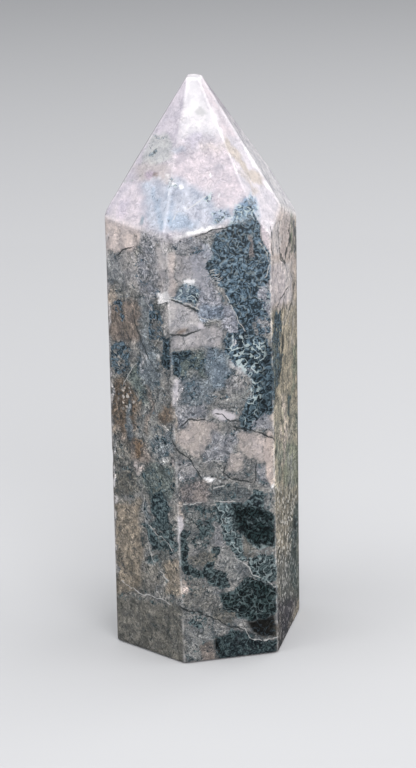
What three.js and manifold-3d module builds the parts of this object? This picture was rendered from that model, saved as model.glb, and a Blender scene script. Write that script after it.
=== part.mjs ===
// A moss agate tower: one piece of stone ground to an upright shaft under a faceted point, polished all
// over. It was cut by hand, so its six main sides differ, and a narrow seventh takes off the edge between
// two of them. Units are millimetres and degrees. +Z is up, the base lies on Z = 0, and -Y faces the viewer.
import * as THREE from "three";
import { ConvexGeometry } from "three/addons/geometries/ConvexGeometry.js";
import { mergeVertices } from "three/addons/utils/BufferGeometryUtils.js";
import Module from "manifold-3d";

// Driving dimensions
const HEIGHT = 116;
const ACROSS_FLATS = 34;
const EDGE_RADIUS = 0.8;

// Shaft facets, anticlockwise from the front left as seen from above. An azimuth of 0 faces the viewer and
// 90 faces +X. Lean tips a facet back from upright, and proud is how far it stands out past half the
// distance across flats.
const SHAFT = {
  frontLeft: { azimuth: -38.4, lean: -0.8, proud: 0.5 },
  front: { azimuth: 12.1, lean: 0, proud: 0 },
  right: { azimuth: 74.6, lean: 0.6, proud: 0.5 },
  narrow: { azimuth: 102, lean: -0.1, proud: 3.3 },
  backRight: { azimuth: 158, lean: 0, proud: -1 },
  back: { azimuth: 212, lean: 0.3, proud: -0.8 },
  left: { azimuth: 254, lean: 0.8, proud: -0.8 },
};

// Point facets, in the same order. Past is how far above the worn tip a facet's plane would cross the
// stone's axis.
const POINT = {
  frontLeftTop: { azimuth: -33.4, lean: 32.3, past: 3.5 },
  frontTop: { azimuth: 5.4, lean: 31.2, past: 2.3 },
  rightTop: { azimuth: 61.6, lean: 32.8, past: 1.1 },
  narrowTop: { azimuth: 88.5, lean: 31.8, past: 1.1 },
  backRightTop: { azimuth: 152, lean: 37, past: 1.5 },
  backTop: { azimuth: 208, lean: 33, past: 2.8 },
  leftTop: { azimuth: 264.5, lean: 32.2, past: 3 },
  wornTip: { azimuth: 40, lean: 82, past: -0.2 },
};

// Chips flaked off the edge between two facets, at a height. A chip is a shallow scoop: depth is how far it
// bites in from the sharp edge, and length (along the edge) and width are its mouth on a plane laid over
// that edge.
const EDGE_CHIPS = [
  { edge: ["frontLeft", "front"], height: 88.5, length: 7.5, width: 5, depth: 0.9 },
  { edge: ["frontLeft", "front"], height: 29.5, length: 5.5, width: 3.6, depth: 0.45 },
  { edge: ["front", "right"], height: 36.5, length: 3.4, width: 3.2, depth: 0.5 },
  { edge: ["narrow", "backRight"], height: 61, length: 6, width: 4.4, depth: 0.6 },
  { edge: ["backRight", "back"], height: 18, length: 7.5, width: 4.8, depth: 0.7 },
  { edge: ["back", "left"], height: 70, length: 6.4, width: 4, depth: 0.5 },
  { edge: ["left", "frontLeft"], height: 41, length: 4.6, width: 3.6, depth: 0.5 },
];

// Pits left open in the polish. Across is measured from the stone's axis, to the right of someone who faces
// the facet.
const FACET_PITS = [
  { facet: "frontLeft", across: 4.6, height: 78.3, length: 2.4, width: 2.2, depth: 0.25 },
  { facet: "front", across: -6.4, height: 80, length: 0.9, width: 2.6, depth: 0.2 },
  { facet: "front", across: -0.3, height: 80, length: 3.6, width: 1.1, depth: 0.2 },
  { facet: "back", across: 3.4, height: 48, length: 2.6, width: 1.8, depth: 0.3 },
  { facet: "backRight", across: -3.8, height: 71, length: 2, width: 1.6, depth: 0.25 },
  { facet: "left", across: 2, height: 22, length: 1.8, width: 2.6, depth: 0.25 },
];

// How finely the rounded edges and the scoops are faceted, and how near things count as touching or as one
const EDGE_STEPS = 3;
const SCOOP_DETAIL = 8;
const TOUCHING = 1e-6;
const WELD = 1e-4;

const POLISHED_STONE = { color: 0x8c8682, roughness: 0.18, metalness: 0 };

const radians = THREE.MathUtils.degToRad;

// The outward normal of a facet that faces an azimuth and leans back from upright.
function facing(azimuth, lean) {
  return new THREE.Vector3(
    Math.sin(radians(azimuth)) * Math.cos(radians(lean)),
    -Math.cos(radians(azimuth)) * Math.cos(radians(lean)),
    Math.sin(radians(lean)),
  );
}

// Every facet as a plane, which holds the points where normal . point = reach.
function facetPlanes() {
  const planes = { base: { normal: new THREE.Vector3(0, 0, -1), reach: 0 } };
  for (const [name, { azimuth, lean, proud }] of Object.entries(SHAFT)) {
    planes[name] = { normal: facing(azimuth, lean), reach: ACROSS_FLATS / 2 + proud };
  }
  for (const [name, { azimuth, lean, past }] of Object.entries(POINT)) {
    planes[name] = { normal: facing(azimuth, lean), reach: (HEIGHT + past) * Math.sin(radians(lean)) };
  }
  return planes;
}

// The point where three planes meet, or null where they have none in common.
function meeting(a, b, c) {
  const bc = new THREE.Vector3().crossVectors(b.normal, c.normal);
  const ca = new THREE.Vector3().crossVectors(c.normal, a.normal);
  const ab = new THREE.Vector3().crossVectors(a.normal, b.normal);
  const volume = a.normal.dot(bc);
  if (Math.abs(volume) < TOUCHING) return null;
  return bc
    .multiplyScalar(a.reach)
    .addScaledVector(ca, b.reach)
    .addScaledVector(ab, c.reach)
    .divideScalar(volume);
}

// The corners of the block that the planes enclose, each with the three planes that meet there.
function cornersOf(planes) {
  const corners = [];
  planes.forEach((a, i) => {
    planes.slice(i + 1).forEach((b, j) => {
      planes.slice(i + j + 2).forEach((c) => {
        const at = meeting(a, b, c);
        if (at && planes.every(({ normal, reach }) => normal.dot(at) < reach + TOUCHING)) {
          corners.push({ at, sides: [a.normal, b.normal, c.normal] });
        }
      });
    });
  });
  return corners;
}

// Directions spread evenly between three facet normals, the normals themselves among them.
function fan([a, b, c]) {
  const directions = [];
  for (let i = 0; i <= EDGE_STEPS; i++) {
    for (let j = 0; j <= EDGE_STEPS - i; j++) {
      const blend = new THREE.Vector3().addScaledVector(a, i).addScaledVector(b, j);
      directions.push(blend.addScaledVector(c, EDGE_STEPS - i - j).normalize());
    }
  }
  return directions;
}

// The block with its edges polished round: part of a small ball is set in every corner of a slightly smaller
// block, and the balls are wrapped together. Each facet still lies on its own plane.
function polishedBlock(planes) {
  const smaller = Object.values(planes).map(({ normal, reach }) => ({ normal, reach: reach - EDGE_RADIUS }));
  const points = cornersOf(smaller).flatMap(({ at, sides }) =>
    fan(sides).map((direction) => at.clone().addScaledVector(direction, EDGE_RADIUS)),
  );
  return new ConvexGeometry(points);
}

// A scoop is the ball whose cap has this depth and width, stretched to the length. Out is the way that the
// scooped surface faces, and along is the way that the length runs.
function scoop(place, out, along, { length, width, depth }) {
  const radius = (width ** 2 / 4 + depth ** 2) / (2 * depth);
  const ball = new THREE.IcosahedronGeometry(radius, SCOOP_DETAIL);
  ball.scale(1, length / width, 1);
  const across = new THREE.Vector3().crossVectors(along, out);
  const centre = place.clone().addScaledVector(out, radius - depth);
  return ball.applyMatrix4(new THREE.Matrix4().makeBasis(across, along, out).setPosition(centre));
}

function edgeChip(planes, chip) {
  const [a, b] = chip.edge.map((name) => planes[name]);
  const level = { normal: new THREE.Vector3(0, 0, 1), reach: chip.height };
  const out = a.normal.clone().add(b.normal).normalize();
  const along = new THREE.Vector3().crossVectors(a.normal, b.normal).normalize();
  return scoop(meeting(a, b, level), out, along, chip);
}

function facetPit(planes, pit) {
  const facet = planes[pit.facet];
  const across = new THREE.Vector3(-facet.normal.y, facet.normal.x, 0).normalize();
  const along = new THREE.Vector3().crossVectors(facet.normal, across);
  const level = { normal: new THREE.Vector3(0, 0, 1), reach: pit.height };
  const place = meeting(facet, level, { normal: across, reach: pit.across });
  return scoop(place, facet.normal, along, pit);
}

const wasm = await Module();
wasm.setup();

function solid(geometry) {
  const bare = geometry.clone();
  bare.deleteAttribute("normal");
  bare.deleteAttribute("uv");
  const merged = mergeVertices(bare, WELD);
  return new wasm.Manifold(
    new wasm.Mesh({
      numProp: 3,
      vertProperties: merged.getAttribute("position").array,
      triVerts: new Uint32Array(merged.index.array),
    }),
  );
}

function geometryOf(manifold) {
  const { vertProperties, triVerts } = manifold.getMesh();
  const geometry = new THREE.BufferGeometry();
  geometry.setAttribute("position", new THREE.BufferAttribute(vertProperties, 3));
  geometry.setIndex(new THREE.BufferAttribute(triVerts, 1));
  return geometry;
}

// The whole stone, stood centred over its origin.
function tower() {
  const planes = facetPlanes();
  const chips = EDGE_CHIPS.map((chip) => edgeChip(planes, chip));
  const pits = FACET_PITS.map((pit) => facetPit(planes, pit));
  let stone = solid(polishedBlock(planes));
  for (const hollow of [...chips, ...pits]) {
    stone = stone.subtract(solid(hollow));
  }

  const geometry = geometryOf(stone);
  geometry.computeBoundingBox();
  const middle = geometry.boundingBox.getCenter(new THREE.Vector3());
  geometry.translate(-middle.x, -middle.y, -geometry.boundingBox.min.z);
  geometry.computeVertexNormals();

  const mesh = new THREE.Mesh(geometry, new THREE.MeshStandardMaterial(POLISHED_STONE));
  mesh.name = "tower";
  return mesh;
}

const object = new THREE.Group();
object.add(tower());
export default object;
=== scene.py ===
"""A polished moss agate tower, with a floor, soft light and a camera to look at it."""

import math

import bpy
import numpy as np
from mathutils import Matrix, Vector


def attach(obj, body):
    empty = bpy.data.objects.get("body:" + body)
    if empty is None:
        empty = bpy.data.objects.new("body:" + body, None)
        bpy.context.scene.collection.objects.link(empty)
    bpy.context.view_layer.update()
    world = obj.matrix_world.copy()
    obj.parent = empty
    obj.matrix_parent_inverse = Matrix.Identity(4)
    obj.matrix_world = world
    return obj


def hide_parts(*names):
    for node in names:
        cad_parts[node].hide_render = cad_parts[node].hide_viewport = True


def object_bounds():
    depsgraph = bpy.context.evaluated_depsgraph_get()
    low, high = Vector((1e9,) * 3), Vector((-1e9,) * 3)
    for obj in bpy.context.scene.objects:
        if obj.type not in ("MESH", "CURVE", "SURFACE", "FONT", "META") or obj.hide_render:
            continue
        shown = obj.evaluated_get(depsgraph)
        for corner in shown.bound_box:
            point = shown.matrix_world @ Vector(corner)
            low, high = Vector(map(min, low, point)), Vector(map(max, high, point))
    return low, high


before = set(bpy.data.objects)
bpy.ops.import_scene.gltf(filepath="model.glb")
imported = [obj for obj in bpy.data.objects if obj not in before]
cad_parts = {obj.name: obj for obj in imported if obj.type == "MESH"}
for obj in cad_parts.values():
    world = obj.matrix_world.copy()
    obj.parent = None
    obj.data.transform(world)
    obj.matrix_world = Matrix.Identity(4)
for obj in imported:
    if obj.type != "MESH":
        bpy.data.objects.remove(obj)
cad_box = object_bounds()
MM = 0.001

# The camera stands in front of the stone and a little above it, and looks slightly down. Its lens, place
# and small roll are the ones that the photograph was taken with, fitted to the stone's corners.
PHOTO_WIDTH, PHOTO_HEIGHT = 416, 768
FOCAL_LENGTH_PX = 1951
CAMERA_PLACE = np.array([0.516, -369.492, 185.8])
CAMERA_DOWN = math.radians(19.7)
CAMERA_ROLL = math.radians(-1.09)
SENSOR_MM = 36


def camera_axes():
    """Right, up and forward as unit vectors: forward dips by CAMERA_DOWN from +Y, then right and up are
    turned about it by CAMERA_ROLL."""
    dip, roll = CAMERA_DOWN, CAMERA_ROLL
    forward = np.array([0, math.cos(dip), -math.sin(dip)])
    level, upright = np.array([1.0, 0, 0]), np.array([0, math.sin(dip), math.cos(dip)])
    right = level * math.cos(roll) + upright * math.sin(roll)
    up = upright * math.cos(roll) - level * math.sin(roll)
    return right, up, forward


camera = bpy.data.objects.new("camera", bpy.data.cameras.new("camera"))
bpy.context.scene.collection.objects.link(camera)
bpy.context.scene.camera = camera
camera.data.sensor_fit = "AUTO"
camera.data.sensor_width = SENSOR_MM
camera.data.lens = FOCAL_LENGTH_PX * SENSOR_MM / PHOTO_HEIGHT
camera.data.clip_start = 10 * MM
right, up, forward = camera_axes()
camera.matrix_world = Matrix(
    [[*row, place * MM] for row, place in zip(np.column_stack([right, up, -forward]), CAMERA_PLACE)]
    + [[0, 0, 0, 1]]
)
bpy.context.scene.view_settings.view_transform = "Standard"


def photo_place(points):
    """Where points in millimetres come out in the photograph, in pixels from its top left corner: the offset
    from the camera along right and up, over that along forward, times the focal length."""
    offset = points - CAMERA_PLACE
    depth = offset @ forward
    across = PHOTO_WIDTH / 2 + FOCAL_LENGTH_PX * (offset @ right) / depth
    down = PHOTO_HEIGHT / 2 - FOCAL_LENGTH_PX * (offset @ up) / depth
    return across, down


# The tower is one piece of moss agate. It was sawn from the rough, ground to seven long sides under a
# faceted point, and tumbled and polished until its edges went round. It stands on its sawn base.

# The skin is divided into columns for each side in turn, rows up the stone, and rings that close it under the
# base and over the tip. Sizes are in millimetres, and a sharpness of k rounds an edge by about 1 / k.
SHAFT_SIDES = ["back", "left", "frontLeft", "front", "right", "narrow", "backRight"]
COLUMNS = [28, 30, 48, 64, 40, 22, 30]
ROWS = 336
BASE_RINGS = 10
TIP_RINGS = 9
STONE_AXIS = np.array([-0.384, 0.408])
EDGE_CROWDING = 0.3
CORNER_EASING = 30
TIP_DOME_HEIGHT = 1.3
BASE_DOME_HEIGHT = 3.0
SHAFT_SHARPNESS, POINT_SHARPNESS = 4.5, 9.0
SHOULDER_LOW, SHOULDER_HIGH = 82.0, 92.0
CHIP_SHARPNESS = 14.0
POLISH_WAVE = 0.03
WAVE_LENGTHS = (4.1, 9.3, 3.7, 7.1, 5.3, 6.1)
BASE_CROWDING = 0.35
RAY_REACH, HALVINGS = 1.6, 24

# Chips on the edge between two sides, at a height, and open pits in one side, across from the stone's axis
# and at a height. Length runs up the stone, width across it, and depth is how far the scoop bites in.
EDGE_CHIPS = [
    (("frontLeft", "front"), 88.5, 7.5, 5, 0.9),
    (("frontLeft", "front"), 29.5, 5.5, 3.6, 0.45),
    (("front", "right"), 36.5, 3.4, 3.2, 0.5),
    (("narrow", "backRight"), 61, 6, 4.4, 0.6),
    (("backRight", "back"), 18, 7.5, 4.8, 0.7),
    (("back", "left"), 70, 6.4, 4, 0.5),
    (("left", "frontLeft"), 41, 4.6, 3.6, 0.5),
]
OPEN_PITS = [
    ("frontLeft", 4.6, 78.3, 2.4, 2.2, 0.25),
    ("front", -6.4, 80, 0.9, 2.6, 0.2),
    ("front", -0.3, 80, 3.6, 1.1, 0.2),
    ("back", 3.4, 48, 2.6, 1.8, 0.3),
    ("backRight", -3.8, 71, 2, 1.6, 0.25),
    ("left", 2, 22, 1.8, 2.6, 0.25),
]

# Facets are told apart by their normals and their reach, their distance from the origin, both rounded into
# steps. A facet's tilt is the z of its normal.
SLIVER = 1e-6
NORMAL_STEPS, REACH_STEPS = 200, 20
LEAST_FACET_WIDTH = 0.6
UPRIGHT_TILT, POINT_TILT, TIP_TILT = 0.1, 0.4, 0.9


def facets_of(node):
    """The planes of a solid's flat facets: triangles with the same normal and the same distance from the
    origin are one facet, and it is kept where its area over its length is more than a polished edge's."""
    mesh = node.data
    mesh.calc_loop_triangles()
    corners = np.empty(len(mesh.loop_triangles) * 3, np.int64)
    mesh.loop_triangles.foreach_get("vertices", corners)
    points = np.empty(len(mesh.vertices) * 3)
    mesh.vertices.foreach_get("co", points)
    triangles = points.reshape(-1, 3)[corners.reshape(-1, 3)] / MM
    cross = np.cross(triangles[:, 1] - triangles[:, 0], triangles[:, 2] - triangles[:, 0])
    area = np.linalg.norm(cross, axis=1) / 2
    whole = area > SLIVER
    triangles, cross, area = triangles[whole], cross[whole], area[whole]
    normals = cross / (2 * area[:, None])
    reach = np.einsum("ij,ij->i", normals, triangles[:, 0])
    keys = np.round(np.column_stack([normals * NORMAL_STEPS, reach * REACH_STEPS])).astype(int)
    _, group = np.unique(keys, axis=0, return_inverse=True)
    group = group.ravel()
    planes = []
    for each in range(group.max() + 1):
        own = group == each
        spread = np.ptp(triangles[own].reshape(-1, 3), axis=0)
        if area[own].sum() / np.linalg.norm(spread) > LEAST_FACET_WIDTH:
            weights = area[own] / area[own].sum()
            planes.append([*(normals[own] * weights[:, None]).sum(0), (reach[own] * weights).sum()])
    return np.array(planes)


facets = facets_of(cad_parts["tower"])
facets = facets[np.argsort(np.arctan2(facets[:, 0], -facets[:, 1]))]
shaft = facets[np.abs(facets[:, 2]) < UPRIGHT_TILT]
above_shoulder = facets[facets[:, 2] > POINT_TILT]
point = above_shoulder[above_shoulder[:, 2] < TIP_TILT]
side = dict(zip(SHAFT_SIDES, shaft))


def corners_at(ring, heights):
    """Where each side of a ring of planes meets the next, at every height: two equations n.p = reach are
    solved for x and y once z is known. The result has a row for each height and a column for each side."""
    following = np.roll(ring, -1, axis=0)
    left = ring[:, 3] - heights[:, None] * ring[:, 2]
    right_hand = following[:, 3] - heights[:, None] * following[:, 2]
    turn = ring[:, 0] * following[:, 1] - ring[:, 1] * following[:, 0]
    x = (left * following[:, 1] - right_hand * ring[:, 1]) / turn
    y = (right_hand * ring[:, 0] - left * following[:, 0]) / turn
    return np.stack([x, y], axis=2)


def smoothstep(low, high, value):
    """0 up to low and 1 from high on, with a slope that is level at both ends: t * t * (3 - 2 * t)."""
    share = np.clip((value - low) / (high - low), 0, 1)
    return share * share * (3 - 2 * share)


def stone_rays():
    """A ray for each point of the stone's skin, as a start inside the stone and a target near the surface.
    A row runs round the stone at one height, and its columns divide each side from corner to corner, closer
    near the corners, so that the long edges run along the columns. Past the two ends the rows are rings."""
    top = cad_box[1].z / MM
    rise = np.linspace(0, top - TIP_DOME_HEIGHT, ROWS)
    low, high = corners_at(shaft, rise), corners_at(point, rise)
    inner = np.linalg.norm(high - STONE_AXIS, axis=2) < np.linalg.norm(low - STONE_AXIS, axis=2)
    corners = np.where(inner[..., None], high, low)
    for _ in range(CORNER_EASING):
        corners[1:-1] = (corners[:-2] + corners[1:-1] + corners[2:]) / 3
    before = np.roll(corners, 1, axis=1)
    rows = []
    for number, count in enumerate(COLUMNS):
        share = np.arange(count) / count
        share = share - EDGE_CROWDING * np.sin(2 * math.pi * share) / (2 * math.pi)
        start, end = before[:, number, None], corners[:, number, None]
        rows.append(start * (1 - share[:, None]) + end * share[:, None])
    flat = np.concatenate(rows, axis=1)
    targets = np.concatenate([flat, np.repeat(rise[:, None, None], flat.shape[1], axis=1)], axis=2)

    rim, foot = targets[-1], targets[0]
    spread = (np.arange(BASE_RINGS, 0, -1) / (BASE_RINGS + 1)) ** BASE_CROWDING
    under = np.concatenate([STONE_AXIS, [0]]) + (foot - [*STONE_AXIS, 0]) * spread[::-1, None, None]
    climb = np.linspace(0, math.pi / 2, TIP_RINGS + 2)[1:-1]
    heart = np.array([*STONE_AXIS, rise[-1]])
    over = heart + (rim - heart) * np.cos(climb)[:, None, None]
    over = over + np.array([0, 0, TIP_DOME_HEIGHT]) * np.sin(climb)[:, None, None]
    targets = np.concatenate([under, targets, over])
    starts = np.empty_like(targets)
    starts[...] = [*STONE_AXIS, 0]
    starts[..., 2] = np.clip(targets[..., 2], BASE_DOME_HEIGHT, rise[-1])
    ends = np.array([[*STONE_AXIS, 0], [*STONE_AXIS, top]])
    return (
        np.concatenate([starts.reshape(-1, 3), [[*STONE_AXIS, BASE_DOME_HEIGHT], heart]]),
        np.concatenate([targets.reshape(-1, 3), ends]),
        targets.shape[:2],
    )


def scoop(place, out, along, length, width, depth):
    """A scoop as its centre, its three axes (across, along, out), its radius, and how much it is stretched
    along: the ball whose cap has this width and depth, moved out until it bites in by the depth."""
    radius = (width**2 / 4 + depth**2) / (2 * depth)
    axes = np.array([np.cross(along, out), along, out])
    return place + out * (radius - depth), axes, radius, length / width


def stone_scoops():
    """Every chip and pit as a scoop. A chip sits where its two sides would meet in a sharp edge, and a pit on
    its side's plane."""
    scoops = []
    for (a, b), height, *shape in EDGE_CHIPS:
        first, second = side[a], side[b]
        rows = np.array([first[:3], second[:3], [0, 0, 1]])
        place = np.linalg.solve(rows, [first[3], second[3], height])
        out = first[:3] + second[:3]
        along = np.cross(first[:3], second[:3])
        scoops.append(scoop(place, out / np.linalg.norm(out), along / np.linalg.norm(along), *shape))
    for name, across, height, *shape in OPEN_PITS:
        normal = side[name][:3]
        level = np.array([-normal[1], normal[0], 0]) / np.hypot(normal[0], normal[1])
        rows = np.array([normal, level, [0, 0, 1]])
        place = np.linalg.solve(rows, [side[name][3], across + level[:2] @ STONE_AXIS, height])
        scoops.append(scoop(place, normal, np.cross(normal, level), *shape))
    return scoops


def blend_of_planes(points):
    """How far points stand outside the polished block. It is the soft maximum of the distances past its
    planes, log(sum(exp(k * distance))) / k, which rounds each edge by about 1 / k, and the point's edges are
    kept sharper than the shaft's."""
    past = points @ facets[:, :3].T - facets[:, 3]
    rise = smoothstep(SHOULDER_LOW, SHOULDER_HIGH, points[:, 2])
    sharpness = SHAFT_SHARPNESS + (POINT_SHARPNESS - SHAFT_SHARPNESS) * rise
    most = past.max(axis=1)
    return most + np.log(np.exp((past - most[:, None]) * sharpness[:, None]).sum(axis=1)) / sharpness


def outside(points):
    """How far points stand outside the stone: the block less every scoop, taken away by the same soft
    maximum. The block has a slow wave left by hand polishing: products of sines over WAVE_LENGTHS, whose sum
    is brought from between -2 and 2 to between 0 and 1."""
    x, y, z = points.T
    a, b, c, d, e, f = WAVE_LENGTHS
    wave = np.sin(x / a + z / b) * np.sin(y / c - z / d + 1) + np.sin(z / e + x / f)
    away = blend_of_planes(points) + POLISH_WAVE * (0.5 + 0.25 * wave)
    for centre, axes, radius, stretch in scoops:
        near = (points - centre) @ axes.T / [1, stretch, 1]
        bite = radius - np.linalg.norm(near, axis=1)
        away = np.logaddexp(away * CHIP_SHARPNESS, bite * CHIP_SHARPNESS) / CHIP_SHARPNESS
    return away


def stone_skin():
    """Points on the stone's surface: each ray is halved again and again between its start, inside, and
    well past its target, outside."""
    starts, targets, shape = stone_rays()
    reach = (targets - starts) * RAY_REACH
    low, high = np.zeros(len(starts)), np.ones(len(starts))
    for _ in range(HALVINGS):
        middle = (low + high) / 2
        inside = outside(starts + reach * middle[:, None]) < 0
        low, high = np.where(inside, middle, low), np.where(inside, high, middle)
    return starts + reach * low[:, None], shape


def skin_faces(rows, columns):
    """Four-cornered faces between neighbouring rows and columns, the last column joined to the first, and a
    fan of triangles to the point under the base and to the one on the tip."""
    index = np.arange(rows * columns).reshape(rows, columns)
    following = np.roll(index, -1, axis=1)
    quads = np.stack([index[:-1], following[:-1], following[1:], index[1:]], axis=2).reshape(-1, 4)
    under, over = rows * columns, rows * columns + 1
    foot = np.stack([following[0], index[0], np.full(columns, under)], axis=1)
    cap = np.stack([index[-1], following[-1], np.full(columns, over)], axis=1)
    return quads.tolist() + foot.tolist() + cap.tolist()


scoops = stone_scoops()
skin, (rows, columns) = stone_skin()
mesh = bpy.data.meshes.new("polished_tower")
mesh.from_pydata((skin * MM).tolist(), [], skin_faces(rows, columns))
mesh.polygons.foreach_set("use_smooth", np.ones(len(mesh.polygons), bool))
mesh.update()
tower = bpy.data.objects.new("polished_tower", mesh)
bpy.context.scene.collection.objects.link(tower)

# The colours of the stone as sRGB values. Milky chalcedony gives the pale ones, iron the warm ones and
# threads of green minerals the slates and greens. A few marks also use the pale ones for painted highlights
# on edges and at the tip.
COLOURS = {
    "white": (252, 249, 251), "pale": (214, 210, 213), "blush": (200, 194, 199), "cream": (176, 172, 174),
    "pale peach": (197, 184, 180), "peach": (166, 157, 153), "tan": (160, 156, 158), "sand": (160, 151, 136),
    "rose grey": (148, 148, 156), "warm grey": (138, 136, 137), "lilac": (150, 154, 168),
    "lilac grey": (138, 138, 143), "taupe": (122, 121, 120), "slate": (113, 121, 128),
    "steel": (112, 125, 137), "green grey": (93, 104, 102), "grey green": (122, 127, 114),
    "olive": (155, 150, 137), "ochre": (160, 148, 138), "drab": (126, 117, 106), "brown": (120, 108, 101),
    "red brown": (122, 114, 112), "rust": (98, 82, 68), "bark": (86, 66, 48), "plum grey": (66, 64, 70),
    "peat": (100, 98, 93), "pewter": (118, 119, 119), "smoke": (92, 96, 97), "umber": (23, 23, 22),
    "navy": (38, 46, 54), "ink": (10, 14, 16), "pink": (194, 183, 189), "shell": (182, 175, 182),
    "dove": (168, 161, 171), "veil": (158, 165, 179), "cyan": (96, 136, 166), "lavender": (154, 146, 171),
    "mauve": (130, 110, 140), "sage": (156, 157, 158), "apricot": (191, 176, 169), "oat": (167, 155, 146),
    "ash": (158, 155, 163), "rose shell": (180, 168, 174),
}

# Besides colours, the marks raise growths, each from 0 to 1. Busy ground is clouded and grained, and drawn
# ground has its grain drawn out upright. Moss is tufts of teal threads, lace the pale threads on them, depth
# the dark of clear stone, and flecks glitter. The rim runs along a mark's outline, and an edge that is buffed
# has no pale bruises and no painted edge highlight. A clean colour thins all the growths under it.
CLEAN = {"white", "blush"}
GROWTHS = ["busy", "moss", "depth", "lace", "flecks", "drawn", "rim", "buffed_no_glint"]
CLOUD_CELLS = 16


def linear(colour):
    """A colour in sRGB bytes as linear light: a power of 2.4 above the short straight foot of the curve."""
    share = np.array(colour) / 255
    return np.where(share <= 0.04045, share / 12.92, ((share + 0.055) / 1.055) ** 2.4)


def cloud(points, size, seed):
    """Smooth noise from 0 to 1: random values on the corners of a grid of cubes of this size, blended inside
    each cube by smoothstep weights along its three edges."""
    values = np.random.default_rng(seed).random((CLOUD_CELLS, CLOUD_CELLS, CLOUD_CELLS))
    place = points / size
    cell = np.floor(place).astype(int)
    share = smoothstep(0, 1, place - cell)
    total = np.zeros(len(points))
    for corner in np.ndindex(2, 2, 2):
        weight = np.where(corner, share, 1 - share).prod(axis=1)
        total += weight * values[tuple(((cell + corner) % CLOUD_CELLS).T)]
    return total


def oval(x, y, half_width, half_height, turn=0):
    """An oval's distance: how far a place is from the middle as a share of the oval, less 1, times its
    smaller half."""
    c, s = math.cos(math.radians(turn)), math.sin(math.radians(turn))

    def distance(px, py):
        dx, dy = px - x, py - y
        share = np.hypot((dx * c + dy * s) / half_width, (dy * c - dx * s) / half_height)
        return (share - 1) * min(half_width, half_height)

    return distance


def to_segments(corners, px, py, squeeze=1.0):
    """Distance to the nearest piece of an open line through the corners, and on which side of it a place is,
    1 or -1: the sign of the cross product of the piece and the way from its start to the place. What the
    distance has across is divided by squeeze, which is below 1 where the stone is seen askew."""
    nearest, hand = np.full(px.shape, np.inf), np.ones(px.shape)
    for (x0, y0), (x1, y1) in zip(corners, corners[1:]):
        ex, ey = x1 - x0, y1 - y0
        dx, dy = px - x0, py - y0
        share = np.clip((dx * ex + dy * ey) / (ex * ex + ey * ey), 0, 1)
        away = np.hypot((dx - share * ex) / squeeze, dy - share * ey)
        closer = away < nearest
        nearest = np.where(closer, away, nearest)
        hand = np.where(closer, np.where(dx * ey - dy * ex > 0, 1.0, -1.0), hand)
    return nearest, hand


def area(*corners):
    """A patch's distance: that to its outline, less than nothing where a ray to the right crosses the
    outline an odd number of times."""
    loop = [*corners, corners[0]]

    def distance(px, py):
        away, _ = to_segments(loop, px, py)
        within = np.zeros(px.shape, bool)
        for (x0, y0), (x1, y1) in zip(loop, loop[1:]):
            if y0 != y1:
                at = x0 + (py - y0) * (x1 - x0) / (y1 - y0)
                within ^= ((y0 > py) != (y1 > py)) & (px < at)
        return np.where(within, -away, away)

    return distance


def streak(width, *corners):
    """A band's distance: that to the line through the corners, less half the width."""
    return lambda px, py: to_segments(corners, px, py)[0] - width / 2


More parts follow.
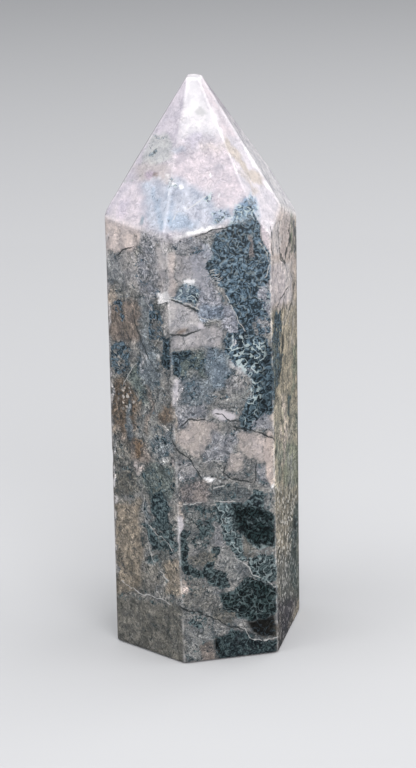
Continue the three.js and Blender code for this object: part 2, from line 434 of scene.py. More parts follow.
# The markings of the sides in view, in the order in which one covers another. Each has the colours and
# growths that it lays down and how strongly, over how many pixels its edge fades, and its outline as it
# shows in the photograph.
FRONT_MARKS = {
    "grey strip under the brow": ({"lilac grey": 0.75}, 3,
        area((170, 241), (206, 237), (206, 252), (190, 256), (172, 254))),
    "tan by the edge": ({"tan": 1, "moss": -0.8, "busy": -0.5}, 3,
        area((174, 256), (191, 256), (206, 262), (207, 280), (196, 283), (176, 283))),
    "brown streak in it": ({"brown": 0.2}, 1.5, streak(3, (179, 259), (180, 275))),
    "warm grey middle": ({"rose grey": 0.85, "busy": -0.3}, 3,
        area((191, 255), (203, 252), (209, 268), (215, 290), (204, 292), (192, 288))),
    # The pale upright band on the edge to the left side is a painted highlight.
    "painted highlight band on the edge": ({"pale peach": 0.7, "moss": -0.9, "busy": -0.6}, 2.5,
        streak(7, (169.5, 256), (170, 293))),
    "soft edge by it": ({"buffed_no_glint": 0.85}, 4, streak(8, (168, 234), (171, 292))),
    "lilac lens": ({"lilac": 0.6, "moss": 0.25}, 1.5,
        area((202, 246), (207, 244), (213, 250), (214, 260), (208, 262), (203, 256))),
    "white bar": ({"white": 0.8}, 1, area((180, 279.5), (196, 278), (198, 285), (181, 287.5))),
    "trapezoid ground": ({"steel": 0.9, "moss": 0.35, "lace": 0.8}, 2,
        area((178, 285), (197, 284), (199, 288), (194, 304), (186, 305), (173, 299))),
    "lilac by the trapezoid": ({"rose grey": 0.8, "moss": -0.5}, 3,
        area((199, 286), (216, 290), (222, 304), (206, 310), (196, 304))),
    "steel patch": ({"steel": 0.85, "lilac": 0.4}, 3,
        area((198, 306), (221, 305), (224, 318), (204, 321), (196, 314))),
    "cream field": ({"cream": 0.85, "moss": -0.7, "busy": -0.45}, 2.5,
        area((167, 302), (176, 300), (190, 307), (197, 316), (200, 322), (196, 332), (184, 334), (172, 333),
        (166, 326))),
    "ochre in the cream": ({"brown": 1}, 3, oval(181, 330, 6, 3)),
    "white patch": ({"blush": 0.95}, 1.5, area((197, 322), (204, 322), (205, 330), (197, 330))),
    "tan field": ({"tan": 0.92, "moss": -0.6, "busy": -0.45}, 3,
        area((171, 335), (186, 334), (199, 331), (214, 327), (222, 331), (224, 344), (215, 349), (178, 350),
        (170, 347))),
    "light in the tan field": ({"cream": 0.7, "moss": -0.5}, 3,
        area((180, 336), (196, 333), (199, 344), (184, 347))),
    "rose by the white line": ({"rose grey": 0.95, "moss": -0.3}, 3,
        area((221, 303), (229, 302), (236, 318), (241, 330), (232, 333), (222, 330))),
    "green field": ({"green grey": 0.8, "moss": 0.35, "depth": 0.15}, 4,
        area((170, 353), (202, 354), (206, 366), (204, 378), (190, 380), (178, 377), (170, 368))),
    "dark corner of the green field": ({"moss": 0.65, "depth": 0.6}, 3,
        area((170, 353), (192, 353), (190, 360), (179, 363), (178, 378), (170, 374))),
    "tan hole": ({"pewter": 0.9, "moss": -0.9, "depth": -0.9}, 2, oval(192.5, 374, 5.5, 6)),
    "grey field": ({"steel": 0.8}, 4,
        area((206, 349), (228, 350), (232, 368), (226, 387), (212, 390), (205, 374))),
    "tan lobe": ({"warm grey": 0.85}, 2, area((226, 375), (243, 373), (244, 392), (232, 396), (225, 388))),
    "teal grey field": ({"slate": 0.8}, 4,
        area((180, 380), (212, 380), (214, 404), (196, 407), (181, 404))),
    "teal grey moss": ({"moss": 0.3}, 5, area((182, 380), (212, 380), (214, 402), (196, 405), (183, 402))),
    # Pale flares on the edge to the left side are painted highlights along the rounded edge.
    "painted highlight on the left edge": ({"cream": 0.9}, 2,
        area((171, 380), (179, 378), (182, 388), (179, 402), (174, 408), (170, 398))),
    "brightest of that painted highlight": ({"blush": 0.9}, 1.5, streak(4, (175, 383), (174, 404))),
    "grey by the tangle": ({"pewter": 0.85}, 2,
        area((232, 389), (246, 388), (246, 404), (240, 411), (232, 408))),
    "lilac field": ({"lilac grey": 0.85}, 3,
        area((175, 405), (206, 405), (210, 414), (206, 419), (190, 424), (180, 430), (174, 424))),
    "rusty edge": ({"ochre": 0.8, "moss": -0.6}, 1, streak(2.6, (174, 408), (175.5, 442))),
    "eye": ({"blush": 0.9}, 1.5,
        area((214, 412), (221, 409), (233, 410), (235, 417), (229, 421.5), (219, 419))),
    "first peach": ({"peach": 0.9, "moss": -0.8, "busy": -0.5}, 2.5,
        area((177, 430), (189, 421), (205, 419), (218, 424), (212, 438), (210, 452), (197, 460), (187, 456),
        (181, 447), (174, 436))),
    "light in the first peach": ({"pale peach": 0.3, "moss": -0.5}, 3, oval(186, 436, 7, 8)),
    "lilac middle": ({"lilac grey": 0.85}, 3,
        area((210, 431), (236, 431), (238, 440), (228, 450), (226, 462), (206, 464), (204, 456),
        (212, 450))),
    "second peach": ({"peach": 0.95, "moss": -0.8, "busy": -0.5}, 2.5,
        area((237, 432), (250, 431), (262, 435), (273, 440), (274, 460), (262, 462), (247, 458),
        (238, 448))),
    "light in the second peach": ({"pale peach": 0.8}, 5, oval(263, 447, 9, 9)),
    "third peach": ({"peach": 0.85, "moss": -0.6, "busy": -0.3}, 2.5,
        area((227, 452), (238, 451), (245, 460), (243, 474), (230, 475), (226, 466))),
    "brown under the crack": ({"rose grey": 0.5, "warm grey": 0.7}, 3,
        area((176, 459), (190, 462), (197, 470), (195, 479), (180, 480), (174, 470))),
    "white blob": ({"white": 0.85}, 1, area((200, 480), (206, 478), (213, 479), (212, 483), (205, 485))),
    "red brown field": ({"red brown": 0.85, "moss": -0.4}, 3,
        area((178, 483), (200, 482), (209, 488), (209, 501), (194, 503), (181, 504))),
    "grey band": ({"smoke": 0.85}, 3, area((211, 487), (240, 487), (250, 490), (247, 500), (214, 501))),
    "rose by the edge": ({"lilac grey": 0.8}, 3, area((256, 466), (268, 462), (268, 486), (258, 484))),
    # The pale apricot run on the edge to the right side is a painted highlight along the rounded edge.
    "painted highlight on the right edge": ({"apricot": 0.95, "moss": -0.9, "busy": -0.3}, 1.5,
        area((270, 410), (274, 410), (277, 436), (278, 487), (266, 484), (264, 460), (267, 436))),
    "white spot on the edge": ({"white": 1}, 1, oval(273, 485.5, 3.4, 2.8)),
    "rose triangle": ({"pewter": 0.8, "moss": 0.3}, 2,
        area((261, 492), (274, 490), (274, 508), (264, 508))),
    "teal triangle": ({"moss": 0.95}, 2, area((244, 508), (254, 489), (262, 492), (264, 510), (250, 511))),
    "big dark": ({"moss": 1}, 4,
        area((228, 505), (244, 508), (262, 510), (275, 514), (277, 546), (262, 548), (247, 541),
        (236, 524))),
    "big dark depth": ({"depth": 1}, 4,
        area((230, 507), (244, 508), (262, 510), (275, 514), (277, 546), (262, 548), (247, 541),
        (238, 524))),
    "grey green field": ({"pewter": 0.75}, 4,
        area((184, 506), (214, 503), (217, 520), (212, 540), (196, 545), (184, 540))),
    "grey green moss": ({"moss": 0.42, "depth": 0.3}, 5,
        area((186, 508), (214, 506), (216, 520), (210, 538), (196, 545), (186, 538))),
    "ochre on the edge": ({"oat": 1, "moss": -1, "depth": -1}, 1,
        area((174, 502), (185, 503), (185, 519), (176, 520))),
    "bruise on the edge": ({"blush": 1, "moss": -1, "depth": -1}, 1.5,
        area((177, 516), (183.5, 516), (183, 541), (179, 543))),
    "slanting mesh": ({"moss": 0.7, "lace": 0.6}, 4,
        area((213, 503), (226, 505), (242, 540), (251, 560), (240, 562), (226, 540))),
    "tan beside the mesh": ({"warm grey": 0.8, "moss": -0.6}, 2.5,
        area((212, 522), (219, 524), (228, 548), (226, 562), (216, 556))),
    "grey in the mesh": ({"peat": 0.8, "moss": -0.8}, 2,
        area((242, 538), (250, 540), (258, 552), (257, 558), (246, 554))),
    "tan under the mesh": ({"pewter": 0.85, "moss": -0.5}, 3,
        area((219, 545), (230, 550), (244, 566), (250, 574), (244, 584), (226, 578), (218, 566))),
    "ring": ({"moss": 1, "depth": 0.45}, 2,
        streak(7, (184, 535), (184.5, 560), (191, 571), (200, 574), (207, 567), (215.5, 548))),
    "lens in the ring": ({"peat": 0.9, "moss": -0.7, "depth": -1}, 2,
        area((190, 553), (203, 547), (216, 551), (214, 562), (202, 566), (192, 564))),
    "drab by the ring": ({"peat": 0.55}, 3,
        area((181, 578), (196, 577), (210, 592), (219, 602), (216, 612), (196, 610), (181, 606))),
    "ochre low on the edge": ({"oat": 0.95}, 2,
        area((176, 577), (187, 578), (191, 586), (182, 595), (176, 594))),
    "cream in it": ({"pale peach": 0.85}, 2, oval(184, 586, 4, 4)),
    "small tufts": ({"moss": 0.85, "depth": 0.4}, 3,
        area((206, 568), (222, 572), (231, 586), (222, 590), (210, 582))),
    "curls by the right edge": ({"moss": 1, "depth": 0.4}, 3,
        area((252, 556), (276, 553), (279, 580), (268, 583), (254, 574))),
    "lace by the right edge": ({"lace": 0.6}, 3,
        area((250, 545), (276, 542), (279, 580), (268, 583), (254, 574))),
    "black wedge": ({"depth": 1}, 2, area((249, 577), (262, 581), (275, 589), (272, 594), (252, 588))),
    "low moss": ({"ink": 0.25, "moss": 1, "depth": 0.9, "lace": 0.55}, 3,
        area((220, 596), (236, 590), (250, 577), (262, 582), (278, 590), (279, 614), (262, 620), (240, 618),
        (226, 608))),
    "brown lens": ({"peat": 0.9}, 2,
        area((211, 609), (226, 607), (237, 614), (235, 624), (222, 622), (212, 617))),
    "teal low left": ({"moss": 0.42}, 3, area((185, 612), (205, 613), (207, 622), (200, 628), (188, 622))),
    "umber block": ({"umber": 1, "moss": -1, "busy": -0.1}, 2,
        area((248, 620), (262, 619), (277, 615), (277, 636), (262, 637.5), (250, 634))),
    "navy foot": ({"navy": 0.9, "depth": 0.5}, 3,
        area((216, 641), (232, 633), (246, 635), (262, 641), (281, 638), (281, 660), (218, 664))),
    "navy foot moss": ({"moss": 0.6}, 3,
        area((218, 641), (232, 635), (246, 637), (262, 643), (281, 640), (281, 660), (220, 664))),
    "ink wedge": ({"ink": 1}, 1.5, area((216, 641), (224, 637), (225, 652), (216, 654))),
    "drab foot": ({"pewter": 0.8}, 3,
        area((184, 628), (206, 628), (220, 630), (214, 646), (200, 660), (186, 660))),
    "rose foot": ({"brown": 0.7}, 2, area((201, 643), (214, 643), (216, 662), (203, 662))),
    "brow moss": ({"steel": 1, "moss": 1}, 2.5,
        area((214, 236), (229, 227), (257, 218), (259, 232), (261, 243), (270.5, 254), (271, 282),
        (258, 290), (259, 305), (268, 314), (254, 324), (256, 334), (242, 331), (236, 316), (230, 303),
        (224, 290), (212, 273), (206, 264), (214, 258), (213, 246))),
    "brow lace": ({"lace": 0.25}, 4,
        area((204, 238), (229, 227), (257, 218), (260, 233), (270, 247), (271, 274), (268, 284), (242, 331),
        (229, 300), (208, 264))),
    "rust in the brow": ({"red brown": 0.9, "moss": -0.9}, 2, oval(250, 240, 3, 6)),
    "rust in the middle": ({"red brown": 1, "moss": -1}, 2.5, oval(250, 252, 4.5, 8)),
    "rust to its left": ({"red brown": 0.8, "moss": -0.4}, 2, oval(244, 260, 3, 3.5)),
    "pale by the right edge": ({"pink": 0.85, "moss": -0.9, "busy": -0.4}, 2,
        area((259, 210), (277, 204), (277, 264), (271, 254), (263, 243), (261, 232))),
    "where the moss crosses the shoulder": ({"buffed_no_glint": 1}, 3,
        area((222, 212), (262, 202), (264, 226), (224, 236))),
    "rose beside the moss": ({"rose grey": 0.9, "moss": 0.38, "lace": 0.6}, 2,
        area((256, 288), (270, 284), (273, 312), (266, 320), (256, 306))),
    "tangle": ({"steel": 0.9, "moss": 1}, 2.5,
        area((227, 333), (240, 331), (256, 334), (268, 340), (273, 352), (273, 412), (258, 427), (246, 428),
        (240, 420), (247, 404), (251, 392), (250, 380), (244, 370), (234, 362), (228, 350))),
    "tangle depth": ({"depth": 0.4}, 5,
        area((242, 345), (268, 342), (273, 352), (273, 415), (258, 425), (246, 424), (250, 400), (250, 380),
        (244, 370))),
    "tangle lace": ({"lace": 1}, 4,
        area((227, 333), (268, 340), (262, 372), (256, 420), (243, 424), (247, 400), (248, 378),
        (230, 358))),
    "rose by the tangle": ({"lilac grey": 0.8, "moss": 0.5}, 2,
        area((256, 320), (272, 318), (273, 334), (262, 336))),
    "white knot": ({"pale": 0.35, "moss": -0.4, "depth": -1}, 1.5,
        area((231, 359), (243, 360), (257, 366), (256, 376), (245, 377), (234, 368))),
    "upper white run": ({"pale": 0.2, "moss": -0.3, "depth": -1}, 1.5,
        streak(4, (260, 337), (260, 352), (255, 362))),
    "lower white run": ({"pale": 0.1, "moss": -0.3, "depth": -1}, 1.5,
        streak(5, (248, 378), (252, 390), (249, 403))),
    "curls on the left of the tangle": ({"pale": 0.8, "moss": -0.5, "lace": 1}, 1.5,
        area((229, 337), (241, 339), (240, 347), (232, 346))),
    "slate under the tangle": ({"lilac grey": 0.9, "moss": -0.6, "depth": -1}, 2,
        area((251, 419), (266, 411), (273, 418), (273, 432), (262, 430), (248, 427))),
}

LEFT_MARKS = {
    "pink brow": ({"pale peach": 0.95, "moss": -0.9, "busy": -0.6, "drawn": -0.7}, 3,
        area((100, 214), (146, 214), (144, 240), (136, 250), (118, 253), (100, 250))),
    "streak in the brow": ({"brown": 0.3}, 2.5, streak(3, (137, 230), (138, 246))),
    "teal grey band": ({"lilac grey": 0.95}, 3,
        area((143, 228), (156, 228), (158, 250), (160, 290), (148, 302), (138, 290), (136, 262),
        (142, 250))),
    "rough white patch": ({"tan": 0.9, "cream": 0.3, "moss": -0.8, "drawn": -0.5, "busy": -0.3}, 2,
        area((156, 216), (172, 216), (175, 238), (172, 250), (163, 250), (158, 240))),
    "lower white patch": ({"tan": 0.9, "cream": 0.4, "moss": -0.8}, 1.5,
        area((163, 242), (171, 241), (171, 250), (164, 250))),
    "brown under the arc": ({"brown": 0.5, "warm grey": 0.9, "moss": -0.5}, 2,
        area((122, 250), (133, 249), (136, 262), (124, 262))),
    "smoky field": ({"warm grey": 0.85, "moss": 0.15, "busy": -0.15}, 4,
        area((105, 254), (120, 254), (136, 264), (139, 288), (120, 288), (105, 286))),
    "tan band": ({"tan": 0.95, "moss": -0.6, "busy": -0.5, "drawn": -0.5}, 3,
        area((157, 250), (172, 250), (172, 292), (160, 292), (155, 270))),
    "soft edge by it": ({"buffed_no_glint": 0.85}, 4, streak(8, (168, 234), (171, 292))),
    "white flake": ({"white": 0.6}, 1, area((155, 291), (166, 291), (175, 294), (174, 302), (158, 305))),
    "green under the flake": ({"moss": 0.42}, 2, area((148, 305), (162, 303), (163, 338), (150, 340))),
    "depth under the flake": ({"depth": 0.6}, 2, area((152, 305), (164, 303), (162, 316), (154, 316))),
    "light strip": ({"warm grey": 0.9, "moss": -0.4}, 2,
        area((162, 308), (172, 306), (172, 336), (164, 338))),
    "ochre on the left": ({"ochre": 0.9, "moss": -0.5}, 3,
        area((105, 287), (114, 287), (116, 304), (105, 304))),
    "teal streak": ({"moss": 0.95}, 1.5, area((115, 304), (120, 303), (125, 316), (123, 323), (117, 320))),
    "brown field": ({"brown": 0.8, "moss": -0.4, "busy": -0.25}, 4,
        area((105, 306), (136, 300), (144, 320), (139, 342), (114, 342), (105, 330))),
    "left moss": ({"moss": 0.52}, 3,
        area((111, 345), (124, 342), (131, 352), (130, 370), (118, 376), (111, 366))),
    "slate middle": ({"slate": 0.7, "moss": -0.15}, 4,
        area((139, 296), (152, 300), (150, 340), (159, 354), (150, 364), (140, 345))),
    "dark upright": ({"moss": 0.75, "depth": 0.6}, 3, area((162, 338), (171, 335), (171, 367), (164, 367))),
    "spots by the dark": ({"white": 0.5}, 1, oval(159, 356, 2.2, 1.6)),
    "rust field": ({"rust": 0.75}, 4,
        area((110, 386), (120, 376), (134, 384), (140, 400), (138, 430), (126, 437), (112, 430))),
    "rust flecks": ({"flecks": 0.55}, 4, oval(127, 396, 9, 12)),
    "tan spot": ({"ochre": 0.9, "moss": -0.5}, 2, oval(117, 430, 5, 4)),
    "slate column": ({"pewter": 0.8}, 4, area((140, 378), (160, 370), (162, 440), (150, 450), (140, 436))),
    "grey upright in the smoke": ({"lilac grey": 0.8}, 3, streak(6, (143, 262), (146, 288), (150, 310))),
    "teal under the brow": ({"slate": 0.4, "moss": 0.2}, 4,
        area((105, 256), (116, 258), (124, 284), (112, 292), (105, 284))),
    "brown beside the column": ({"brown": 0.6, "moss": -0.3}, 3,
        area((118, 436), (134, 434), (150, 452), (150, 462), (136, 462))),
    "teal above the rust": ({"green grey": 0.8, "moss": 0.3}, 4,
        area((128, 372), (142, 362), (144, 400), (139, 404))),
    "teal beside the streaks": ({"slate": 0.8, "moss": 0.2}, 3,
        area((141, 352), (158, 352), (160, 384), (146, 392), (140, 372))),
    "teal low on the left": ({"peat": 0.6, "moss": 0.25}, 4,
        area((112, 442), (130, 440), (134, 462), (118, 470), (112, 466))),
    "brown streak": ({"rust": 0.7, "moss": -0.5}, 2.5,
        area((160, 404), (174, 404), (174, 420), (165, 424), (158, 418))),
    "bark streak": ({"rust": 0.9, "moss": -0.5}, 2, area((136, 436), (143, 438), (144, 456), (138, 458))),
    "second bark streak": ({"bark": 1, "moss": -0.5}, 1.2, streak(2.4, (155, 443), (157, 457))),
    "third bark streak": ({"bark": 0.6, "moss": -0.5}, 1.5, streak(3, (121, 478), (128, 488))),
    "tan upright in the field": ({"tan": 0.5}, 1.2, streak(2.5, (121, 508), (124, 530), (130, 548))),
    "teal upright": ({"slate": 0.8}, 1.5, streak(4, (129, 400), (131, 424), (133, 440))),
    "second pale upright": ({"pale": 0.8, "moss": -0.5}, 1, streak(1.4, (144, 354), (144, 372))),
    "pale upright": ({"pale peach": 0.75, "moss": -0.5}, 1,
        streak(1.6, (170, 446), (171, 470), (174, 500))),
    "teal over the long crack": ({"slate": 0.7, "moss": 0.35}, 3,
        area((150, 440), (172, 430), (174, 452), (156, 458))),
    "low teal upright": ({"slate": 0.8, "moss": 0.3}, 2, streak(4, (146, 503), (149, 520), (150, 545))),
    "second brown upright": ({"brown": 0.6, "moss": -0.5}, 1.5,
        streak(4, (147, 388), (149, 410), (147, 432))),
    "brown upright": ({"brown": 0.3, "moss": -0.5}, 1.5, streak(3, (131, 296), (133, 312), (138, 336))),
    "fifth bark streak": ({"bark": 0.3, "moss": -0.5}, 1.2, streak(2, (163, 408), (166, 420))),
    "fourth bark streak": ({"bark": 0.55, "moss": -0.5}, 1.2,
        streak(2.2, (122, 384), (127, 396), (133, 405), (134, 424))),
    "white blob": ({"pale peach": 0.95, "moss": -0.9}, 1.5, oval(139.5, 466, 2.6, 7, -15)),
    "pale green blob": ({"sage": 0.9, "moss": -0.8, "depth": -0.5}, 2, oval(163, 461, 3.5, 5)),
    "green grey field": ({"green grey": 0.7}, 4,
        area((142, 466), (156, 462), (174, 468), (175, 500), (152, 500), (142, 484))),
    "green grey moss": ({"moss": 0.34}, 4,
        area((144, 470), (156, 466), (174, 470), (175, 498), (152, 498), (144, 484))),
    "brown on the left": ({"peat": 0.8}, 3, area((110, 470), (138, 470), (140, 492), (112, 496))),
    "white on the outline": ({"white": 0.8}, 1, oval(113.5, 480, 1.5, 4)),
    "dark eye": ({"navy": 0.9, "moss": 0.75}, 2,
        area((154, 497), (163, 495), (171, 510), (168, 526), (158, 524), (153, 510))),
    "drab field": ({"drab": 0.9, "moss": -0.4, "busy": -0.15}, 4,
        area((112, 500), (142, 500), (143, 540), (146, 560), (140, 590), (116, 592))),
    "low dark": ({"moss": 0.65}, 3, area((144, 522), (170, 526), (180, 545), (172, 552), (150, 548))),
    "green blob": ({"peat": 0.8, "moss": -0.4}, 2, area((153, 545), (168, 544), (168, 560), (155, 560))),
    "low flecks": ({"flecks": 0.4, "moss": 0.5, "lace": 0.4}, 3, oval(154, 562, 6, 8)),
    "smoke by the low flecks": ({"smoke": 0.55}, 4, area((150, 542), (168, 546), (172, 576), (152, 580))),
    "brown low by the edge": ({"drab": 0.45, "smoke": 0.3}, 4,
        area((142, 564), (160, 562), (163, 590), (144, 592))),
    "ochre by the edge": ({"drab": 0.85}, 3, area((164, 560), (182, 556), (184, 592), (168, 594))),
    "earthy foot": ({"peat": 0.85, "busy": -0.25}, 5,
        area((112, 592), (146, 598), (186, 604), (188, 664), (112, 660))),
    # A pale line down the left outline is a painted highlight of the rounded edge.
    "painted highlight on the outline": ({"pale": 0.45, "moss": -0.5}, 0.8,
        streak(2.6, (105.5, 235), (107.5, 300), (110.5, 400), (114, 500), (116.5, 572))),
}

RIGHT_MARKS = {
    "pale strip": ({"pale peach": 0.8, "drawn": -0.6, "busy": -0.3}, 6,
        area((250, 210), (290, 208), (297, 224), (297, 262), (294, 304), (268, 306), (262, 258),
        (258, 232))),
    "pale in the strip": ({"pale": 0.45}, 3, area((270, 262), (292, 262), (292, 300), (272, 304))),
    "second pale in the strip": ({"pale": 0.5}, 3, area((268, 222), (278, 222), (280, 254), (270, 256))),
    "rose strip": ({"pink": 0.35}, 2, area((268, 268), (284, 262), (286, 308), (270, 312))),
    "tan leaf": ({"pale peach": 0.85}, 1.5,
        area((278, 206), (287, 212), (289, 240), (284, 264), (280, 250), (278, 226))),
    "dark streak by the leaf": ({"grey green": 1}, 1, streak(3.4, (291, 210), (292, 252))),
    "dark streak on the outline": ({"smoke": 1}, 1, streak(2, (295, 222), (296, 258))),
    "dark upright": ({"green grey": 0.75, "moss": 0.5}, 1.5,
        area((274, 318), (279, 306), (282, 330), (281, 360), (277, 395), (272, 410), (270, 380))),
    "sandy strip": ({"sand": 0.8, "drawn": -0.45}, 8,
        area((284, 310), (302, 296), (302, 400), (292, 420), (285, 380))),
    "first pale streak": ({"pale": 0.25}, 1, streak(1.6, (286, 262), (290, 300), (286, 324))),
    "second pale streak": ({"pale": 0.25}, 1, streak(1.6, (293, 300), (291, 345))),
    "olive strip": ({"olive": 0.75, "moss": 0.1}, 8, area((272, 400), (302, 404), (302, 500), (274, 500))),
    "grey green strip": ({"grey green": 0.8}, 2, area((276, 440), (302, 446), (302, 488), (278, 484))),
    "long sandy streak": ({"sand": 0.95, "moss": -0.5}, 1.5, streak(4, (285, 385), (284, 440), (281, 500))),
    "third grey upright": ({"grey green": 0.9, "smoke": 0.4}, 2,
        streak(3.5, (299, 415), (298, 440), (299, 470))),
    "pale upright": ({"pale": 0.35}, 1.5, streak(2, (291, 424), (290, 452), (292, 488))),
    "second grey upright": ({"smoke": 0.55}, 2, streak(3, (277, 424), (279, 452), (278, 486))),
    "grey upright": ({"grey green": 0.9, "drawn": 0.3}, 2, streak(4, (294, 348), (295, 372), (293, 398))),
    "fifth dark dash on the right": ({"ink": 0.2}, 1, streak(2, (287, 540), (287, 566))),
    "fourth dark dash on the right": ({"ink": 0.45}, 1, streak(1.8, (283, 470), (283, 490))),
    "third dark dash on the right": ({"ink": 0.7}, 1, streak(1.4, (296, 378), (296, 396))),
    "second rosy upright": ({"pale peach": 0.5, "moss": -0.5}, 2,
        streak(3.5, (283, 398), (285, 432), (283, 462))),
    "rosy upright": ({"sand": 0.5, "moss": -0.5}, 2, streak(3.5, (298, 330), (298, 372), (296, 404))),
    "dark streak in the olive": ({"green grey": 1, "moss": 0.3}, 1,
        streak(3.4, (290.5, 396), (290.5, 414))),
    "glitter ground": ({"peat": 0.95, "moss": 0.1, "drawn": -0.4}, 12,
        area((274, 494), (302, 494), (302, 580), (292, 612), (276, 604))),
    "pale in the glitter": ({"sand": 0.4}, 6, area((276, 498), (291, 498), (291, 552), (276, 552))),
    "dark upright in the glitter": ({"ink": 0.5, "moss": 0.4}, 2,
        streak(4, (296, 508), (297, 548), (293, 584))),
    "glitter": ({"flecks": 1}, 14, area((274, 490), (302, 494), (302, 580), (292, 606), (276, 598))),
    "dark low in the glitter": ({"smoke": 0.6, "moss": 0.2, "flecks": -0.3}, 6,
        area((276, 562), (293, 560), (293, 606), (276, 604))),
    "dark by the glitter": ({"green grey": 0.7, "ink": 0.2, "moss": 0.3, "flecks": -0.6}, 3,
        area((291, 508), (302, 500), (302, 596), (293, 600), (289, 560))),
    "dark on the outline": ({"ink": 0.8}, 1, streak(3, (295, 518), (296, 550))),
    "lilac foot": ({"plum grey": 1, "flecks": 0.35, "drawn": -0.4}, 8,
        area((274, 602), (296, 598), (296, 640), (274, 658))),
}

